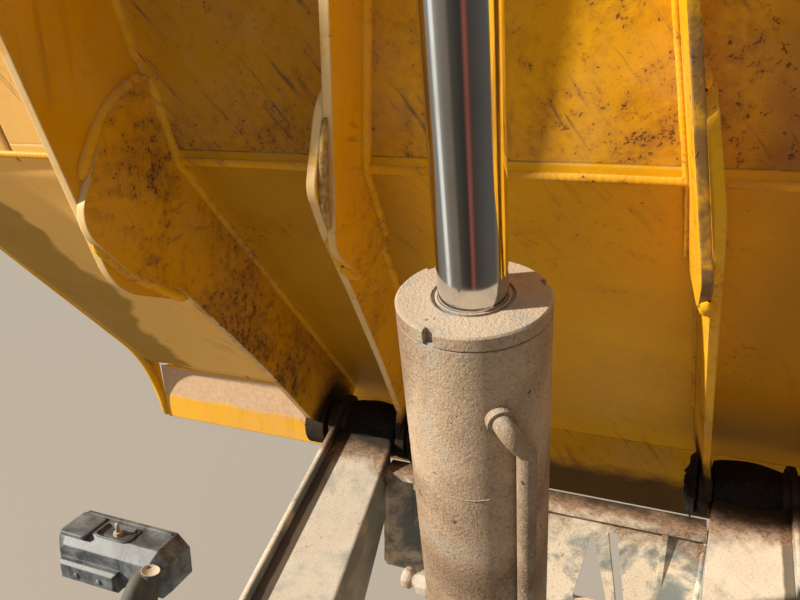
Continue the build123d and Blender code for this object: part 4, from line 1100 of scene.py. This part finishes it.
# Hinge: half spacings of the tubes, the inner boss, the keepers and the nipple; sizes of grease and keepers
TUBE_X = (0.3105, 0.420)
INNER_BOSS_X = 0.2785
KEEPER_X = 0.5145
NIPPLE_X = 0.5255
GREASE_R = 0.058
GREASE_THICK = 0.012
GREASE_LUMP = 0.004
KEEPER_AHEAD = (0.036, -0.036)
KEEPER_SIZE = 0.008
NIPPLE_ROWS = ((SHUT, 0), (0.006, 0), (0.006, 0.004), (0.0035, 0.006), (0.0035, 0.012), (0.0045, 0.014),
               (0.003, 0.018), (SHUT, 0.0185))


def add_hinge_details():
    """Grease caked on the hinge tubes and inner bosses; keeper bolts and nipples at the outer bosses."""
    for side, hand in SIDES:
        lumpy_collar(f"grease_tube_{hand}", side, *TUBE_X, GREASE_R, FRAME_STEEL, 11 + side)
        grease_cake(f"grease_cake_{hand}", side, INNER_BOSS_X, GREASE_THICK, GREASE_R, SKIP_STEEL,
                    41 + side)
        for k, ahead in enumerate(KEEPER_AHEAD):
            centre = (side * KEEPER_X, HINGE[0] + ahead, HINGE[1])
            bolt(f"keeper_bolt_{hand}_{k}", centre, (side, 0, 0), KEEPER_SIZE, SKIP_STEEL, "pin")
        nipple = turned((side * NIPPLE_X, HINGE[0], HINGE[1]), (side, 0, 0), NIPPLE_ROWS, 20)
        surface(f"grease_nipple_{hand}", nipple, SKIP_STEEL, "pin", close_v=True)
        if hand == "left":
            add_mud_shade_pocket(side, hand)


def add_mud_shade_pocket(side, hand):
    """Mud in the lap of the inner rib, put there as painted shade of the recess: a tube that swells as
    sin(pi s)^0.35 along its length s.
    """
    path, s = dense(mirrored(rib_path(INNER_RIB, 0.0075, POCKET), side), 0.003)
    lumps = 1 + 0.04 * np.sin(s * 310.0)
    swell = 0.0062 * np.sin(math.pi * np.clip(s / s[-1], 0.01, 0.99)) ** 0.35 * lumps
    surface(f"mud_shade_pocket_{hand}", tube(path, swell, 12, (1.0, 0.02, 0.03)), SKIP_PAINT, "mud", close_v=True)


# Beads of the cross member, on the right side of the machine
# Mud bead that stands in for the shade in the gap under the lip
CROSS_FRONT_MUD_SHADE = [(-0.24, 0.5880, 0.3690), (0.24, 0.5880, 0.3690)]
CROSS_BEADS = (("web", [(0.3012, 0.5500, 0.166), (0.3012, 0.5500, 0.350)], 0.0058),
               ("flange", [(0.3012, 0.5405, 0.3675), (0.3052, 0.5895, 0.3675)], 0.0048))


def add_cross_welds():
    """Beads where the cross member's web and flange end at the arms, and a mud bead along its front edge
    that stands in for the shade in the gap under the lip.
    """
    weld("cross_edge_mud_shade", CROSS_FRONT_MUD_SHADE, FRAME_PAINT, "mud", 0.0070, up=(0.02, 1.0, 0.05), seed=31)
    for side, hand in SIDES:
        for word, points, size in CROSS_BEADS:
            weld(f"weld_cross_{word}_{hand}", mirrored(np.array(points), side), FRAME_PAINT, "cross", size,
                 up=(1.0, 0.05, 0.02), seed=21 + side)


# Bolts of the turning ring: count, radius and height of their circle, size, half width of the clevis
RING_BOLTS = 28
RING_BOLT_R = 0.232
RING_BOLT_Z = 0.106
RING_BOLT_SIZE = 0.011
CLEVIS_HALF = 0.085


def add_table_bolts():
    """Ring of bolts that hold the turning ring, left out where the ram's clevis stands."""
    for k, turn in enumerate(np.linspace(0, 2 * math.pi, RING_BOLTS, endpoint=False)):
        x, y = RING_BOLT_R * math.sin(turn), RING_BOLT_R * math.cos(turn)
        if abs(x) < CLEVIS_HALF and y > 0:
            continue
        bolt(f"ring_bolt_{k:02d}", (x, y, RING_BOLT_Z), (0, 0, 1), RING_BOLT_SIZE, FRAME_RING, "ring")


# Lamps: the middle of the right one, its top over that and its back face; then the sizes of what sits on
# it, with turned parts as rows of (radius, height), and the stalk's end
LAMP_AT = (0.721, 0.245, 0.284)
LAMP_TOP = 0.051
LAMP_BACK = 0.1905
DISH_HALF = (0.0385, 0.0200)
DISH_POWER = 0.35
DISH_BEAD = 0.0022
NUT_HIGH = 0.0455
NUT_SIZE = 0.0095
STUD_HIGH = 0.047
PAD_AT = (0.078, -0.002)
PAD_HALF = (0.030, 0.034, 0.0045)
SPINE_AHEAD = 0.030
SPINE_HALF = (0.100, 0.0025, 0.0050)
SCREW_OFFSETS = (0.0572, 0.005)
SCREW_DROP = 0.018
STUD_ROWS = ((SHUT, 0), (0.0036, 0), (0.0036, 0.024), (SHUT, 0.0245))
SCREW_ROWS = ((SHUT, 0), (0.0055, 0), (0.0055, 0.0022), (0.004, 0.0034), (SHUT, 0.0036))
STALK_AT = (0.621, 0.1905, 0.2440)
STALK_LEAN = (-0.16, 0.10, 1.0)
STALK_ROWS = ((SHUT, 0), (0.0178, 0.0), (0.0178, 0.0735), (0.0170, 0.0750), (0.0150, 0.0752),
              (0.0145, 0.0740), (SHUT, 0.0738))
CUT_ROWS = ((SHUT, 0.0745), (0.0145, 0.0745), (0.0150, 0.0753), (0.0165, 0.0754), (0.0166, 0.0748))


def dish_rim(x, y, z):
    """Bead round the lamp's dish, a superellipse: each axis is half * sign(t) |t|^power."""
    turn = np.linspace(0, 2 * math.pi, 90, endpoint=False)
    loop = np.stack([x + DISH_HALF[0] * swollen(np.cos(turn), DISH_POWER),
                     y + DISH_HALF[1] * swollen(np.sin(turn), DISH_POWER), 0 * turn + z], axis=1)
    return tube(np.concatenate([loop, loop[:2]]), DISH_BEAD, 10)


def add_lamp_details():
    """Stud and nut in the lamp's dish, its rim, a stepped pad, screws on its back, the stalk's cut end."""
    for side, hand in SIDES:
        x, y, z = side * LAMP_AT[0], LAMP_AT[1], LAMP_AT[2]
        top = z + LAMP_TOP
        bolt(f"lamp_nut_{hand}", (x, y, z + NUT_HIGH), (0, 0, 1), NUT_SIZE, FRAME_STEEL, "ram")
        stud = turned((x, y, z + STUD_HIGH), (0, 0, 1), STUD_ROWS, 16)
        surface(f"lamp_stud_{hand}", stud, FRAME_STEEL, "ram", close_v=True)
        rim = dish_rim(x, y, top + 0.0006)
        surface(f"lamp_dish_rim_{hand}", rim, FRAME_PLASTIC, "plastic", close_v=True)
        pad_at = (x + side * PAD_AT[0], y + PAD_AT[1], top - 0.001)
        slab(f"lamp_pad_{hand}", pad_at, PAD_HALF, 0.22, FRAME_PLASTIC, "plastic")
        spine_at = (x, y + SPINE_AHEAD, top - 0.001)
        slab(f"lamp_spine_{hand}", spine_at, SPINE_HALF, 0.3, FRAME_PLASTIC, "plastic")
        for k, offset in enumerate(SCREW_OFFSETS):
            screw = turned((x + side * offset, LAMP_BACK, z - SCREW_DROP), (0, -1, 0), SCREW_ROWS, 20)
            surface(f"lamp_screw_{hand}_{k}", screw, FRAME_PLASTIC, "plastic", close_v=True)
        foot, lean = (mirrored(np.array(v), side) for v in (STALK_AT, STALK_LEAN))
        for word, rows, finish in (("end", STALK_ROWS, "stalk"), ("cut", CUT_ROWS, "cut")):
            tip = turned(foot, lean, rows, 48)
            surface(f"lamp_stalk_{word}_{hand}", tip, FRAME_PAINT, finish, close_v=True)


# Studio

def place_camera():
    """Camera matrix from two angles: yaw to the left of +Y and pitch below the horizon."""
    yaw, pitch = math.radians(CAMERA_YAW), math.radians(CAMERA_PITCH)
    right = Vector((math.cos(yaw), math.sin(yaw), 0))
    forward = Vector((-math.sin(yaw) * math.cos(pitch), math.cos(yaw) * math.cos(pitch), -math.sin(pitch)))
    matrix = Matrix((right, right.cross(forward), -forward)).transposed().to_4x4()
    matrix.translation = Vector(CAMERA_AT)
    data = bpy.data.cameras.new("camera")
    data.lens = CAMERA_LENS
    data.sensor_width = SENSOR_WIDTH
    data.clip_start = 0.01
    camera = bpy.data.objects.new("camera", data)
    camera.matrix_world = matrix
    bpy.context.scene.collection.objects.link(camera)
    bpy.context.scene.camera = camera


def add_floor():
    """Plain pale floor. Rays that the bright rod mirrors see it darker, in bands round the ram."""
    mesh = bpy.data.meshes.new("floor")
    half = FLOOR_HALF_SIZE
    corners = [(x, y, FLOOR_Z) for x, y in ((-half, -half), (half, -half), (half, half), (-half, half))]
    mesh.from_pydata(corners, [], [(0, 1, 2, 3)])
    floor = bpy.data.objects.new("floor", mesh)
    bpy.context.scene.collection.objects.link(floor)
    material, tree, shader, vector = new_material("floor_pale")
    place = axes(tree, vector)
    angle = maths(tree, "ARCTAN2", place[0], times(tree, place[1], -1.0))
    bands = node(tree, "ShaderNodeValToRGB", i0=scaled(tree, angle, 0.5 / math.pi, 0.5))
    for degrees, colour in MIRROR_BANDS:
        stop = bands.color_ramp.elements.new((degrees + 180.0) / 360.0)
        stop.color = (*colour, 1)
    mirrored_in = tree.nodes.new("ShaderNodeLightPath").outputs["Is Glossy Ray"]
    colour = mix(tree, mirrored_in, FLOOR_COLOUR, bands.outputs[0])
    tree.links.new(colour, shader.inputs["Base Color"])
    shader.inputs["Roughness"].default_value = 0.9
    shader.inputs["Specular IOR Level"].default_value = 0.1
    mesh.materials.append(material)


def add_lights():
    """A soft sun from the left, high and a little behind the camera, and an even pale sky."""
    world = bpy.data.worlds.new("studio")
    world.use_nodes = True
    sky = world.node_tree.nodes["Background"]
    sky.inputs["Color"].default_value = SKY_COLOUR
    sky.inputs["Strength"].default_value = SKY_STRENGTH
    bpy.context.scene.world = world
    light = bpy.data.lights.new("sun", "SUN")
    light.energy = SUN_ENERGY
    light.color = SUN_COLOUR
    light.angle = math.radians(SUN_SPREAD)
    lamp = bpy.data.objects.new("sun", light)
    lamp.rotation_euler = Vector(SUN_DIRECTION).to_track_quat("-Z", "Y").to_euler()
    bpy.context.scene.collection.objects.link(lamp)


bpy.context.scene.view_settings.view_transform = "Standard"
dress_nodes()
add_rib_welds()
add_panel_welds()
add_rolled_edges()
add_dented_skin()
add_ram_details()
add_hinge_details()
add_cross_welds()
add_table_bolts()
add_lamp_details()
place_camera()
add_floor()
add_lights()
